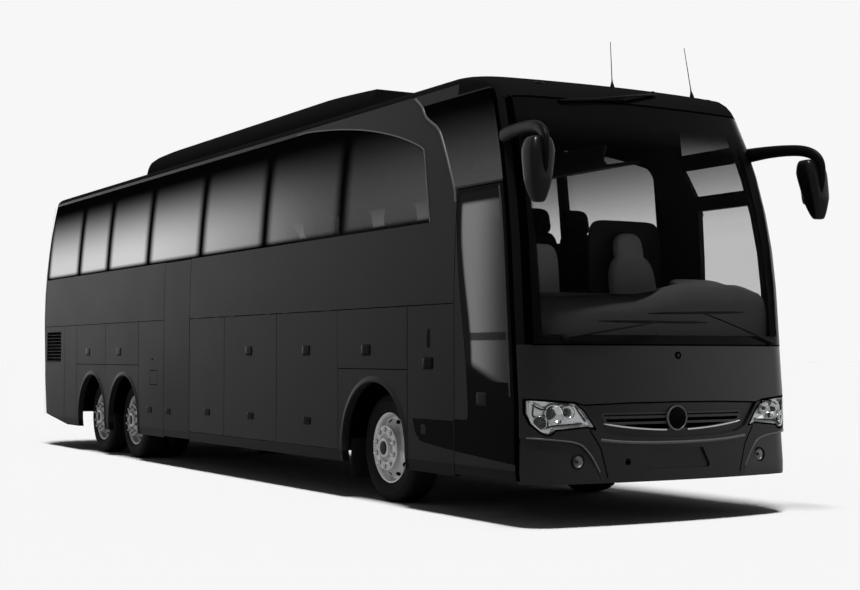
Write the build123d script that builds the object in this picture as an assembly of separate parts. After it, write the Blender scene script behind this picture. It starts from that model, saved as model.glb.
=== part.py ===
from build123d import *
import math
import os

os.makedirs("parts", exist_ok=True)

# Touring coach with three axles. Millimetres, +X forward, +Y left, +Z up, ground at zero.

# Lengths along the coach
FRONT_OVERHANG = 2477.0
WHEELBASE = 6500.0
TAG_SPACING = 1250.0
REAR_OVERHANG = 2328.0
MIRROR_REACH = 215.0
BODY_LENGTH = FRONT_OVERHANG + WHEELBASE + TAG_SPACING + REAR_OVERHANG
X_FRONT = (BODY_LENGTH - MIRROR_REACH) / 2
X_REAR = X_FRONT - BODY_LENGTH
X_STEER = X_FRONT - FRONT_OVERHANG
X_DRIVE = X_STEER - WHEELBASE
X_TAG = X_DRIVE - TAG_SPACING

# Heights and widths of the body
HALF_WIDTH = 1275.0
SKIRT_Z = 320.0
SILL_Z = 416.0
TUCK = 12.0
BELT_Z = 1659.0
WINDOW_Z = 2317.0
GLASS_TOP_Z = 3365.0
EAVES_Z = 3400.0
ROOF_Z = 3550.0
SIDE_R = 11500.0
WALL = 60.0
GLASS_T = 8.0
SEAT_GAP = 0.3
SEAM = 0.6

# Front profile: lean of the nose, then the arcs of screen, brow and dome
NOSE_Z = 880.0
RAKE_Z = 1800.0
RAKE = math.radians(4.3)
SCREEN_R = 4000.0
BROW_R = 300.0
BROW_END = math.radians(76.0)
DOME_R = 6000.0
NOSE_PLAN_R = 6500.0
NOSE_CORNER_R = 240.0
TAIL_CORNER_R = 150.0
TAIL_Z = 2000.0
TAIL_LOW_R = 9000.0
TAIL_HIGH_R = 6000.0

# Seams of the front: windscreen edge, door edge and panel heights
SCREEN_EDGE = 175.0
DOOR_EDGE = 284.0
SCREEN_LOW_Z = 1330.0
SCREEN_HIGH_Z = 3205.0
MASK_LOW_Z = 930.0
CAP_SIDE_Z = 3312.0
CAP_BACK = 1270.0
REAR_POST = 190.0

# Doors
DOOR_GAP = 10.0
FRONT_DOOR_BACK = 1145.0
FRONT_DOOR_TOP_Z = 2540.0
DOOR_LOW_Z = 335.0
MID_DOOR_CENTRE = -995.0
MID_DOOR_WIDTH = 810.0
MID_DOOR_TOP_Z = WINDOW_Z - 6.0
ARM_R = 480.0
COLUMN_R = 30.0
COLUMN_INSET = 155.0
PIN_R = 14.0
BORE_GAP = 0.3

# Floors and stairwells
DECK_Z = 1230.0
DECK_T = 50.0
COCKPIT_Z = 830.0
COCKPIT_BACK = 1520.0
STAIR_Y = 330.0
TREAD_Z = 370.0
TREAD_T = 36.0
BAY_FLOOR_Z = 446.0
BAY_FLOOR_T = 40.0
BULKHEAD_T = 30.0

# Luggage flaps: named seams along the side
FLAP_X = [MID_DOOR_CENTRE + MID_DOOR_WIDTH / 2, 400.0, 1713.0, 3027.0]
FLAP_LOW_Z = SILL_Z + 6.0
FLAP_TOP_Z = BELT_Z - 8.0
FLAP_GAP = 5.0
HINGE_R = 3.8
HINGE_LENGTH = 50.0

# Wheels and axles
AXLE_Z = 465.0
TYRE_R = 465.0
TYRE_W = 272.0
TYRE_FACE_Y = 1122.0
RIM_R = 286.0
TYRE_BEAD_R = RIM_R + 0.3
TWIN_PITCH = 312.0
HUB_R = 140.0
SPINDLE_R = 45.0
ARCH_FRONT_R = 565.0
ARCH_REAR_R = 545.0
LINER_T = 12.0
LINER_FRONT_Y = 470.0
LINER_REAR_Y = 500.0
KINGPIN_Y = 860.0
KINGPIN_R = 26.0
WHEEL_Y = TYRE_FACE_Y - TYRE_W / 2

# Seats
SEAT_PITCH = 830.0
SEAT_FIRST_X = 4150.0
SEAT_ROWS = 12
AISLE_Y = 270.0
SEAT_WIDTH = 880.0

PARTS = {}


def block(x0, x1, y0, y1, z0, z1):
    """Plain box between two corners."""
    return Pos((x0 + x1) / 2, (y0 + y1) / 2, (z0 + z1) / 2) * Box(x1 - x0, y1 - y0, z1 - z0)


def outline(points, radius=0.0):
    """Closed flat outline, with its corners rounded where a radius is given."""
    face = make_face(Polyline(*points, close=True))
    if radius:
        face = fillet(face.vertices(), radius)
    return face


def along_y(face, y0, y1):
    """Side view face (x, z) drawn out between two widths."""
    return extrude(Plane((0, y1, 0), x_dir=(1, 0, 0), z_dir=(0, -1, 0)) * face, y1 - y0)


def along_x(face, x0, x1):
    """End view face (y, z) drawn out between two lengths."""
    return extrude(Plane((x0, 0, 0), x_dir=(0, 1, 0), z_dir=(1, 0, 0)) * face, x1 - x0)


def through_side(face, side):
    """Side view face drawn through one side wall, right for -1 and left for 1."""
    return along_y(face, 900.0, 1500.0) if side > 0 else along_y(face, -1500.0, -900.0)


def rod(start, end, radius):
    """Round bar between two points."""
    path = Vector(*end) - Vector(*start)
    return Plane(origin=tuple(start), z_dir=path) * Pos(0, 0, path.length / 2) * Cylinder(radius, path.length)


# Body sections
SIN_SCREEN = (ROOF_Z - RAKE_Z + SCREEN_R * math.sin(RAKE) - BROW_R * math.sin(BROW_END)
              - DOME_R * (1 - math.sin(BROW_END))) / (SCREEN_R - BROW_R)


def front_setback(z):
    """Distance of the front outline behind the bumper at a height."""
    if z <= RAKE_Z:
        return max(z - NOSE_Z, 0.0) * math.tan(RAKE)
    back = (RAKE_Z - NOSE_Z) * math.tan(RAKE)
    start = math.sin(RAKE)
    base = RAKE_Z
    for radius, end in ((SCREEN_R, SIN_SCREEN), (BROW_R, math.sin(BROW_END)), (DOME_R, 1.0)):
        top = base + radius * (end - start)
        sine = min(start + (min(z, top) - base) / radius, 1.0)
        back += radius * (math.sqrt(1 - start ** 2) - math.sqrt(1 - sine ** 2))
        if z <= top:
            break
        base = top
        start = end
    return back


def half_width(z):
    """Half width of the body side at a height below the eaves."""
    low = max(SILL_Z - z, 0.0) / (SILL_Z - SKIRT_Z)
    rise = max(z - BELT_Z, 0.0)
    return HALF_WIDTH - TUCK * low ** 2 - (SIDE_R - math.sqrt(SIDE_R ** 2 - rise ** 2))


def tail_inset(z):
    """Distance of the rear outline ahead of the rearmost point."""
    radius = TAIL_LOW_R if z < TAIL_Z else TAIL_HIGH_R
    return radius - math.sqrt(radius ** 2 - (z - TAIL_Z) ** 2)


def plan(z, half, front, rear, nose_r, tail_r, plan_r):
    """Level outline of the body: bowed nose, rounded corners, straight sides and tail."""
    cx = front - plan_r
    yc = half - nose_r
    xc = cx + math.sqrt((plan_r - nose_r) ** 2 - yc ** 2)
    turn = math.asin(yc / (plan_r - nose_r))
    fx = cx + plan_r * math.cos(turn)
    fy = plan_r * math.sin(turn)
    mid = (turn + math.pi / 2) / 2
    mx = xc + nose_r * math.cos(mid)
    my = yc + nose_r * math.sin(mid)
    bend = tail_r * math.sqrt(0.5)
    tx = rear + tail_r
    ty = half - tail_r
    edges = [
        ThreePointArc((fx, -fy), (front, 0), (fx, fy)),
        ThreePointArc((fx, fy), (mx, my), (xc, half)),
        Line((xc, half), (tx, half)),
        ThreePointArc((tx, half), (tx - bend, ty + bend), (rear, ty)),
        Line((rear, ty), (rear, -ty)),
        ThreePointArc((rear, -ty), (tx - bend, -ty - bend), (tx, -half)),
        Line((tx, -half), (xc, -half)),
        ThreePointArc((xc, -half), (mx, -my), (fx, -fy)),
    ]
    return Pos(0, 0, z) * make_face(edges)


BODY_LEVELS = [SKIRT_Z, SILL_Z, NOSE_Z, BELT_Z, RAKE_Z, 2100.0, 2400.0, 2700.0, 2950.0, SCREEN_HIGH_Z, 3260.0,
               CAP_SIDE_Z, 3355.0, EAVES_Z]
OVERRUN = 20.0


def body_block(inset):
    """Body filled solid from skirt to eaves, drawn in by an inset; inner blocks run past both ends."""
    sections = []
    for z in BODY_LEVELS:
        past = OVERRUN if inset and z == EAVES_Z else 0.0
        past -= OVERRUN if inset and z == SKIRT_Z else 0.0
        sections.append(plan(z + past, half_width(z) - inset, X_FRONT - front_setback(z) - inset,
                             X_REAR + tail_inset(z) + inset, NOSE_CORNER_R - 0.8 * inset,
                             TAIL_CORNER_R - 0.6 * inset, NOSE_PLAN_R - inset))
    return loft(sections, ruled=True)


# Roof levels: height, half width, set-in at the tail, corner radius
ROOF_LEVELS = [
    (EAVES_Z, half_width(EAVES_Z), tail_inset(EAVES_Z), NOSE_CORNER_R),
    (3430.0, 1128.0, 184.0, 245.0),
    (3454.0, 1104.0, 215.0, 250.0),
    (3472.0, 1062.0, 250.0, 255.0),
    (3490.0, 979.0, 310.0, 260.0),
    (3510.0, 800.0, 395.0, 265.0),
    (3530.0, 566.0, 520.0, 240.0),
    (ROOF_Z - 6.0, 310.0, 720.0, 180.0),
]


def roof_block(inset):
    """Roof filled solid from the eaves to the crown, drawn in by an inset."""
    sections = []
    for z, half, tail, corner in ROOF_LEVELS:
        drop = inset if z > EAVES_Z else 0.0
        lift = (z - EAVES_Z) / (ROOF_Z - EAVES_Z)
        draw = inset * (1.0 - 0.7 * lift)
        level = EAVES_Z - (OVERRUN if inset else 0.0) if z == EAVES_Z else z - drop * lift
        sections.append(plan(level, half - draw, X_FRONT - front_setback(z) - draw, X_REAR + tail + draw,
                             corner - 0.5 * draw, corner * 0.6 - 0.4 * draw, NOSE_PLAN_R - draw))
    return loft(sections, ruled=True)


def front_zone(offset, low=SKIRT_Z - 40.0, high=EAVES_Z + 40.0):
    """All that lies ahead of the front outline set back by an offset, in side view."""
    points = [(X_FRONT - front_setback(z) - offset, z) for z in BODY_LEVELS]
    ahead = X_FRONT + 400.0
    ends = [(points[-1][0] - 60.0, high), (ahead, high), (ahead, low), (X_FRONT - offset, low)]
    return along_y(outline(points + ends), -1600.0, 1600.0)


OUTER = body_block(0.0)
TAIL_RISE = along_y(outline([(-4950, 296), (-4950, 200), (-6600, 200), (-6600, 500)]), -1600, 1600)
SHELL = OUTER - body_block(WALL)
GLASS_SHELL = OUTER - body_block(GLASS_T)
GLASS_SEAT = OUTER - body_block(GLASS_T + SEAT_GAP)
LINED = body_block(WALL + SEAT_GAP)
ROOF_OUTER = roof_block(0.0)
ROOF_SHELL = ROOF_OUTER - roof_block(WALL)

X_CAP = X_FRONT - CAP_BACK
X_REAR_POST = X_REAR + REAR_POST
X_DOOR = X_FRONT - FRONT_DOOR_BACK
PILLAR_ZONE = front_zone(DOOR_EDGE)
SCREEN_ZONE = front_zone(SCREEN_EDGE)

# Window outlines, seen from the side
BAND_FRONT = [(2185, GLASS_TOP_Z), (3400, 3222), (4380, 2960), (4455, 2890), (4490, 2790), (4625, WINDOW_Z)]
BAND_REAR_X = X_REAR_POST + 14.0
PANE_X = [-4710.0, -3495.0, -2004.0, -333.0, 1357.0, 3026.0]
PANE_GAP = 6.0
POST_HALF = 55.0
FRAME = 34.0

# Engine louvres near the tail
LOUVRE_X = (-6120.0, -5420.0)
LOUVRE_Z = (1155.0, 1590.0)
LOUVRE_T = 40.0
SLATS = 9
SLAT_INSET = 3.0


def band_outline(margin=0.0):
    """Outline of the window band, drawn in by a margin."""
    p = BAND_FRONT
    edges = [
        Line((BAND_REAR_X, WINDOW_Z), (BAND_REAR_X, GLASS_TOP_Z)),
        Line((BAND_REAR_X, GLASS_TOP_Z), p[0]),
        ThreePointArc(p[0], p[1], p[2]),
        ThreePointArc(p[2], p[3], p[4]),
        Line(p[4], p[5]),
        Line(p[5], (BAND_REAR_X, WINDOW_Z)),
    ]
    face = make_face(edges)
    return offset(face, -margin) if margin else face


QUARTER = outline([(4975, 2566), (4855, 2780), (4715, 2995), (4620, 3090), (4430, 3195), (4330, 3300),
                   (5900, 3300), (5900, 2566)])
DRIVER_PANE = outline([(4985, 1640), (4985, 2525), (5900, 2525), (5900, 1640)])
HINGE_Z = (FLAP_TOP_Z + BELT_Z) / 2


def hinge_barrels(side, x0, x1, moving):
    """Hinge barrels of one flap: the moving ones stand beside the fixed ones on the same axis."""
    barrels = []
    for x in (x0 + 160.0, x1 - 160.0 - 2 * HINGE_LENGTH):
        start = x if moving else x + HINGE_LENGTH + SEAT_GAP
        y = side * HALF_WIDTH
        bar = rod((start, y, HINGE_Z), (start + HINGE_LENGTH, y, HINGE_Z), HINGE_R)
        z0, z1 = (HINGE_Z - 6.0, HINGE_Z) if moving else (HINGE_Z, HINGE_Z + 6.0)
        y0, y1 = sorted((side * HALF_WIDTH, side * (HALF_WIDTH - 5.0)))
        barrels.append(bar + block(start, start + HINGE_LENGTH, y0, y1, z0, z1))
    return barrels


def body_side(side):
    """One whole body side with its arches, doorways, flap openings and window apertures cut."""
    y0, y1 = sorted((side * 900.0, side * 1500.0))
    wall = SHELL & block(X_REAR_POST, X_FRONT, y0, y1, SKIRT_Z - 10, EAVES_Z + 10)
    wall -= front_zone(DOOR_EDGE + SEAM)
    wall -= block(X_CAP - SEAM, X_FRONT, y0, y1, CAP_SIDE_Z - SEAM, EAVES_Z + 20)
    wall -= TAIL_RISE
    band = through_side(band_outline(), side)
    wall -= GLASS_SEAT & band
    panes = [BAND_REAR_X] + PANE_X + [4700.0]
    hole = through_side(band_outline(FRAME), side)
    for back, ahead in zip(panes[:-1], panes[1:]):
        wall -= hole & block(back + POST_HALF, ahead - POST_HALF, y0, y1, WINDOW_Z, EAVES_Z)
    quarter = through_side(QUARTER, side) - front_zone(DOOR_EDGE + 12.0)
    wall -= GLASS_SEAT & quarter
    wall -= through_side(offset(QUARTER, -FRAME), side) - front_zone(DOOR_EDGE + 60.0)
    for x, radius in ((X_STEER, ARCH_FRONT_R), (X_DRIVE, ARCH_REAR_R), (X_TAG, ARCH_REAR_R)):
        wall -= Pos(x, side * 1200, AXLE_Z) * Rot(90, 0, 0) * Cylinder(radius, 700)
        wall -= block(x - radius, x + radius, y0, y1, 0, AXLE_Z)
    wall -= block(FLAP_X[0], FLAP_X[-1], y0, y1, FLAP_LOW_Z - FLAP_GAP, BELT_Z)
    wall -= block(*LOUVRE_X, y0, y1, *LOUVRE_Z)
    if side < 0:
        wall -= block(X_DOOR, X_FRONT, y0, y1, 0, FRONT_DOOR_TOP_Z + DOOR_GAP)
        half = MID_DOOR_WIDTH / 2
        wall -= block(MID_DOOR_CENTRE - half, MID_DOOR_CENTRE + half, y0, y1, 0, WINDOW_Z - 0.5)
    else:
        driver = through_side(DRIVER_PANE, side) - front_zone(DOOR_EDGE + 12.0)
        wall -= GLASS_SEAT & driver
        wall -= through_side(offset(DRIVER_PANE, -FRAME), side) - front_zone(DOOR_EDGE + 60.0)
    return wall


def louvre(side):
    """Engine louvre of one side: a frame with leaning slats."""
    y0, y1 = sorted((side * (HALF_WIDTH - LOUVRE_T), side * HALF_WIDTH))
    x0, x1 = LOUVRE_X[0] + SEAM, LOUVRE_X[1] - SEAM
    z0, z1 = LOUVRE_Z[0] + SEAM, LOUVRE_Z[1] - SEAM
    grid = block(x0, x1, y0, y1, z0, z1) - block(x0 + 16, x1 - 16, y0 - 1, y1 + 1, z0 + 14, z1 - 14)
    pitch = (z1 - z0 - 28) / SLATS
    back, face = side * (HALF_WIDTH - LOUVRE_T + SLAT_INSET), side * (HALF_WIDTH - SLAT_INSET)
    slat = [(back, 22), (back, 28), (face, 6), (face, 0)]
    for number in range(SLATS):
        base = z0 + 14 + SLAT_INSET + number * pitch
        grid += along_x(outline([(y, base + z) for y, z in slat]), x0 + 10, x1 - 10)
    return grid


def side_panes(side):
    """Glass panes of one side: the band, the quarter pane and the driver's pane on the left."""
    band = GLASS_SHELL & through_side(band_outline(1.0), side)
    panes = [BAND_REAR_X] + PANE_X + [4700.0]
    glass = []
    for back, ahead in zip(panes[:-1], panes[1:]):
        glass.append(band & block(back + PANE_GAP / 2, ahead - PANE_GAP / 2, -1500, 1500, WINDOW_Z, EAVES_Z))
    glass.append(GLASS_SHELL & (through_side(offset(QUARTER, -1.0), side) - front_zone(DOOR_EDGE + 13.0)))
    if side > 0:
        driver = through_side(offset(DRIVER_PANE, -1.0), side) - front_zone(DOOR_EDGE + 13.0)
        glass.append(GLASS_SHELL & driver)
    return glass


def solids_of(shapes):
    """One compound of every solid in a list of shapes."""
    return Compound(children=[solid for shape in shapes for solid in shape.solids()])


# Each side meets at the belt: window wall above, lower panels and the skirt strip under the flaps below
for side, word in ((-1, "right"), (1, "left")):
    whole = body_side(side)
    upper = whole & block(X_REAR, X_FRONT, -1500, 1500, BELT_Z, EAVES_Z + 10)
    for x0, x1 in zip(FLAP_X[:-1], FLAP_X[1:]):
        for bar in hinge_barrels(side, x0, x1, False):
            upper += bar
    PARTS[f"side_wall_{word}"] = upper
    lower = whole & block(X_REAR, X_FRONT, -1500, 1500, 0, BELT_Z - SEAM)
    for x in (FLAP_X[0], FLAP_X[-1]):
        lower -= block(x - SEAM, x, -1500, 1500, 0, FLAP_LOW_Z)
    PARTS[f"lower_panels_{word}"] = solids_of([lower])
PARTS["side_louvres"] = solids_of([louvre(-1), louvre(1)])
PARTS["side_glass"] = solids_of(side_panes(-1) + side_panes(1))

# Roof, front cap with the screen pillars, and the climate unit
PARTS["roof"] = ROOF_SHELL & block(X_REAR - 50, X_CAP - SEAM, -1400, 1400, EAVES_Z - 1, ROOF_Z + 10)
cap = SHELL & PILLAR_ZONE & block(X_CAP, X_FRONT + 50, -1400, 1400, SCREEN_LOW_Z + SEAM, EAVES_Z + 1)
cap -= SCREEN_ZONE & block(X_CAP, X_FRONT + 50, -1400, 1400, 0, SCREEN_HIGH_Z)
cap += SHELL & block(X_CAP, X_FRONT + 50, -1400, 1400, CAP_SIDE_Z, EAVES_Z)
cap += ROOF_SHELL & block(X_CAP, X_FRONT + 50, -1400, 1400, EAVES_Z, ROOF_Z + 10)
PARTS["front_cap"] = cap

# Climate unit seen from the side: x, z
UNIT_SIDE = [(-2815, 3440), (-2775, 3640), (-2620, 3690), (-1750, 3775), (-200, 3800), (1700, 3750),
             (3120, 3655), (3165, 3440)]
unit = along_y(outline(UNIT_SIDE), -1000, 1000)
UNIT_END_FACE = make_face([
    Line((-1000, 3440), (-985, 3540)),
    ThreePointArc((-985, 3540), (-900, 3690), (-730, 3755)),
    ThreePointArc((-730, 3755), (0, 3800), (730, 3755)),
    ThreePointArc((730, 3755), (900, 3690), (985, 3540)),
    Line((985, 3540), (1000, 3440)),
    Line((1000, 3440), (-1000, 3440)),
])
unit = unit & along_x(UNIT_END_FACE, -3000, 3400)
PARTS["roof_unit"] = unit - Pos(0, 0, SEAT_GAP) * ROOF_OUTER

# Windscreen, front panel and bumper
screen = GLASS_SHELL & front_zone(SCREEN_EDGE - SEAM)
screen = screen & block(X_CAP, X_FRONT + 50, -1400, 1400, SCREEN_LOW_Z + SEAM, SCREEN_HIGH_Z - SEAM)
PARTS["windscreen"] = screen
nose = SHELL & PILLAR_ZONE
FRONT_CUT = (5500.0, X_FRONT + 100.0)

# Lower edge of the front panel, from the middle outwards: y, z
MASK_EDGE = [(0, 905), (440, 902), (830, 890), (902, 911), (1099, 927), (1248, 939), (1400, 944)]


def below_mask(gap):
    """All that lies under the front panel's lower edge, seen from ahead."""
    left = [(y, z - gap) for y, z in MASK_EDGE]
    right = [(-y, z) for y, z in left[:0:-1]]
    return along_x(outline(right + left + [(1400, 200), (-1400, 200)]), X_CAP, X_FRONT + 50)


panel = nose & block(X_CAP, X_FRONT + 50, -1400, 1400, 800, SCREEN_LOW_Z)
PARTS["front_panel"] = panel - below_mask(0.0)

# Headlamp outline from its outer top corner inwards and round: y, z
LAMP = [(1250, 980), (1099, 970), (902, 960), (888, 898), (829, 846), (732, 712), (806, 731), (1059, 709),
        (1108, 677), (1168, 697), (1223, 756), (1246, 835)]
LAMP_R = 11.0

# Bowl round the grille and the grille slot in it: half widths and heights
BOWL = [(828, 960), (828, 886), (760, 791), (700, 713), (605, 672)]
BOWL_LOW_Z = 638.0
BOWL_DEPTH = 22.0
SLOT = [(655, 832), (672, 815), (640, 758), (612, 738)]
SLOT_LOW_Z = 690.0
SLOT_RIM = 16.0
BAR_Z = (752.0, 796.0)
BOSS_Z = 783.0
BOSS_R = 97.0

# Fog lamp recess, from the outer end of its crease inwards and down: y, z
RECESS = [(1400, 656), (1168, 651), (1059, 640), (942, 627), (837, 591), (770, 515), (720, 430), (690, 340),
          (690, 250), (1400, 250)]
RECESS_LEAN = 4.5
FOG_Y = 870.0
FOG_Z = 480.0
FOG_R = 52.0

# Seam between the middle and the corner of the bumper: y, z
BUMPER_SEAM = [(776, 740), (776, 700), (692, 574), (634, 358), (626, 250)]


def smile(half, low, margin=0.0):
    """Symmetric outline seen from ahead: straight top, given flanks and a hanging arc below."""
    left = [(-y, z) for y, z in half]
    edges = [Line(left[0], half[0])]
    for first, second in zip(half[:-1], half[1:]):
        edges.append(Line(first, second))
        edges.append(Line((-second[0], second[1]), (-first[0], first[1])))
    edges.append(ThreePointArc(half[-1], (0, low), left[-1]))
    face = make_face(edges)
    return offset(face, -margin) if margin else face


def lamp_face(side, margin):
    """Headlamp outline seen from ahead."""
    face = outline([(side * y, z) for y, z in LAMP], LAMP_R)
    return offset(face, -margin) if margin else face


BOWL_FLOOR = Pos(-BOWL_DEPTH, 0, 0) * OUTER
LEAN_FOOT = Pos(X_FRONT, 0, SKIRT_Z + 10)
RECESS_FLOOR = LEAN_FOOT * Rot(0, -RECESS_LEAN, 0) * LEAN_FOOT.inverse() * OUTER
bumper = nose & below_mask(SEAM)
bumper -= along_x(smile(BOWL, BOWL_LOW_Z), *FRONT_CUT) - BOWL_FLOOR
bumper -= along_x(smile(SLOT, SLOT_LOW_Z), *FRONT_CUT)
lamps = []
for side in (-1, 1):
    bumper -= along_x(lamp_face(side, 0.0), *FRONT_CUT)
    lamps.append(nose & below_mask(SEAM) & along_x(lamp_face(side, SEAM), *FRONT_CUT))
    bumper -= along_x(outline([(side * y, z) for y, z in RECESS]), *FRONT_CUT) - RECESS_FLOOR
    fog = Pos(6100, side * FOG_Y, FOG_Z) * Rot(0, 90, 0)
    bumper -= fog * Cylinder(FOG_R, 300)
    lamps.append(nose & RECESS_FLOOR & fog * Cylinder(FOG_R - SEAM, 300))
    strip = [(side * y, z) for y, z in BUMPER_SEAM]
    strip += [(side * (y + 2 * SEAM), z) for y, z in BUMPER_SEAM[::-1]]
    bumper -= along_x(outline(strip), *FRONT_CUT)
plate = outline([(-326, 408), (326, 408), (243, 560), (-243, 560)], 20.0)
bumper -= along_x(plate, X_FRONT - 24, X_FRONT + 100)
bumper -= rod((X_FRONT - 200, -460, 470), (X_FRONT + 50, -460, 470), 26)
PARTS["front_bumper"] = solids_of([bumper])
PARTS["front_lamps"] = solids_of(lamps)

grille = BOWL_FLOOR & SHELL & along_x(smile(SLOT, SLOT_LOW_Z, SEAM), *FRONT_CUT)
grille -= along_x(smile(SLOT, SLOT_LOW_Z, SLOT_RIM), *FRONT_CUT)
bars = block(X_FRONT - 120, X_FRONT, -700, 700, BAR_Z[0] - 9, BAR_Z[0] + 9)
bars += block(X_FRONT - 120, X_FRONT, -700, 700, BAR_Z[1] - 9, BAR_Z[1] + 9)
grille += bars & BOWL_FLOOR & SHELL & along_x(smile(SLOT, SLOT_LOW_Z, SLOT_RIM - 2), *FRONT_CUT)
boss_x = X_FRONT - BOWL_DEPTH
grille += rod((boss_x + SEAT_GAP, 0, BOSS_Z), (X_FRONT - 8, 0, BOSS_Z), BOSS_R)
grille += rod((boss_x - 30, 0, BOSS_Z - 15), (boss_x + 4, 0, BOSS_Z - 15), 48)
PARTS["grille"] = grille

# Rear wall with its glass, lid and lamps
LID = [(-880, 640), (880, 640), (880, 1560), (-880, 1560)]
LID_SLOTS = 6
TAIL_LAMP = [(960, 760), (1180, 760), (1180, 1520), (960, 1520)]
rear = SHELL & block(X_REAR - 50, X_REAR_POST - SEAM, -1400, 1400, SKIRT_Z - 10, EAVES_Z + 10)
rear -= TAIL_RISE
REAR_PANE = outline([(-1010, 2330), (1010, 2330), (960, 3230), (-960, 3230)], 90.0)
rear -= GLASS_SEAT & along_x(REAR_PANE, X_REAR - 100, X_REAR_POST + 60)
rear -= along_x(offset(REAR_PANE, -FRAME), X_REAR - 100, X_REAR_POST + 60)
rear_glass = GLASS_SHELL & along_x(offset(REAR_PANE, -1.0), X_REAR - 100, X_REAR_POST + 60)
rear -= along_x(outline(LID), X_REAR - 100, X_REAR_POST + 60)
tail_lamps = []
for side in (-1, 1):
    face = outline([(side * y, z) for y, z in TAIL_LAMP], 40.0)
    rear -= along_x(face, X_REAR - 100, X_REAR + 180)
    tail_lamps.append(SHELL & along_x(offset(face, -SEAM), X_REAR - 100, X_REAR + 179))
rear -= rod((X_REAR - 50, -520, 560), (X_REAR + 300, -520, 560), 26)
LID_X = X_REAR + tail_inset(LID[2][1])
LID_Z = LID[2][1] - 4.0
LID_INNER = [(-874, 646), (874, 646), (874, 1552), (-874, 1552)]
lid = SHELL & along_x(outline(LID_INNER), X_REAR - 100, X_REAR_POST + 60)
for y in (-700.0, 600.0):
    rear += rod((LID_X, y, LID_Z), (LID_X, y + 50, LID_Z), HINGE_R)
    rear += block(LID_X, LID_X + 6, y, y + 50, LID_Z, LID_Z + 6)
    lid += rod((LID_X, y + 50.3, LID_Z), (LID_X, y + 100, LID_Z), HINGE_R)
    lid += block(LID_X, LID_X + 6, y + 50.3, y + 100, LID_Z - 6, LID_Z)
for number in range(LID_SLOTS):
    z = LID[0][1] + 120 + number * 48
    lid -= block(X_REAR - 100, X_REAR_POST + 60, -640, 640, z, z + 22)
PARTS["rear_wall"] = rear
PARTS["rear_glass"] = rear_glass
PARTS["tail_lamps"] = solids_of(tail_lamps)
PARTS["engine_lid"] = lid

# Luggage flaps
for side, word in ((-1, "right"), (1, "left")):
    for number, (x0, x1) in enumerate(zip(FLAP_X[:-1], FLAP_X[1:]), start=1):
        y0, y1 = sorted((side * 900.0, side * 1500.0))
        flap = SHELL & block(x0 + FLAP_GAP, x1 - FLAP_GAP, y0, y1, FLAP_LOW_Z, FLAP_TOP_Z)
        for bar in hinge_barrels(side, x0, x1, True):
            flap += bar
        PARTS[f"luggage_flap_{word}_{number}"] = flap

# Doors on the right side, each hung on the two arms of a turning column
COLUMN_Y = -(HALF_WIDTH - COLUMN_INSET)
ARM_Z = [760.0, 1960.0]
ARM_H = 40.0
LUG_H = 32.0
FRONT_COLUMN_X = X_FRONT - 530.0
MID_COLUMN_X = MID_DOOR_CENTRE - MID_DOOR_WIDTH / 2 + 150.0


def door_arm(column_x, reach, top):
    """Turning column with two arms; each arm ends in a pin pointing down."""
    pin_x = column_x + reach
    arm = rod((column_x, COLUMN_Y, TREAD_Z + SEAT_GAP), (column_x, COLUMN_Y, top), COLUMN_R)
    for z in ARM_Z:
        x0, x1 = sorted((column_x, pin_x))
        arm += block(x0, x1, COLUMN_Y - 17, COLUMN_Y + 17, z, z + ARM_H)
        arm += rod((pin_x, COLUMN_Y, z - LUG_H - 1), (pin_x, COLUMN_Y, z + ARM_H), PIN_R)
        arm += rod((pin_x, COLUMN_Y, z), (pin_x, COLUMN_Y, z + ARM_H), 24)
    return arm


LUG_SPACE = body_block(WALL - 10.0)


def door_lugs(pin_x):
    """Lugs on the inside of a door, bored for the pins of the arms."""
    lugs = []
    for z in ARM_Z:
        lug = block(pin_x - 28, pin_x + 28, COLUMN_Y - 110, COLUMN_Y + 26, z - LUG_H, z - SEAT_GAP)
        lug = lug & LUG_SPACE
        lugs.append(lug - rod((pin_x, COLUMN_Y, z - 60), (pin_x, COLUMN_Y, z), PIN_R + BORE_GAP))
    return lugs


door = SHELL & block(X_DOOR + DOOR_GAP, X_FRONT, -1500, -900, DOOR_LOW_Z, FRONT_DOOR_TOP_Z)
door -= front_zone(DOOR_EDGE + DOOR_GAP)
DOOR_PANE = outline([(X_DOOR + 50, 1190), (X_DOOR + 50, 2505), (X_FRONT, 2505), (X_FRONT, 1040),
                     (X_DOOR + 450, 1060)])
pane_cut = through_side(DOOR_PANE, -1) - front_zone(DOOR_EDGE + DOOR_GAP + 42.0)
door -= GLASS_SEAT & pane_cut
door -= through_side(offset(DOOR_PANE, -30.0), -1) - front_zone(DOOR_EDGE + DOOR_GAP + 72.0)
FRONT_PIN_X = FRONT_COLUMN_X - ARM_R
for lug in door_lugs(FRONT_PIN_X):
    door += lug
door += block(FRONT_PIN_X - 15, FRONT_PIN_X + 15, -1200, -1172, ARM_Z[0] - LUG_H, FRONT_DOOR_TOP_Z - 5)
PARTS["front_door"] = door
pane = through_side(offset(DOOR_PANE, -1.0), -1) - front_zone(DOOR_EDGE + DOOR_GAP + 43.0)
PARTS["front_door_glass"] = GLASS_SHELL & pane
PARTS["front_door_arm"] = door_arm(FRONT_COLUMN_X, -ARM_R, 2440.0)

half = MID_DOOR_WIDTH / 2 - DOOR_GAP
door = SHELL & block(MID_DOOR_CENTRE - half, MID_DOOR_CENTRE + half, -1500, -900, DOOR_LOW_Z, MID_DOOR_TOP_Z)
for lug in door_lugs(MID_COLUMN_X + ARM_R):
    door += lug
PARTS["mid_door"] = door
PARTS["mid_door_arm"] = door_arm(MID_COLUMN_X, ARM_R, 2200.0)

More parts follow.
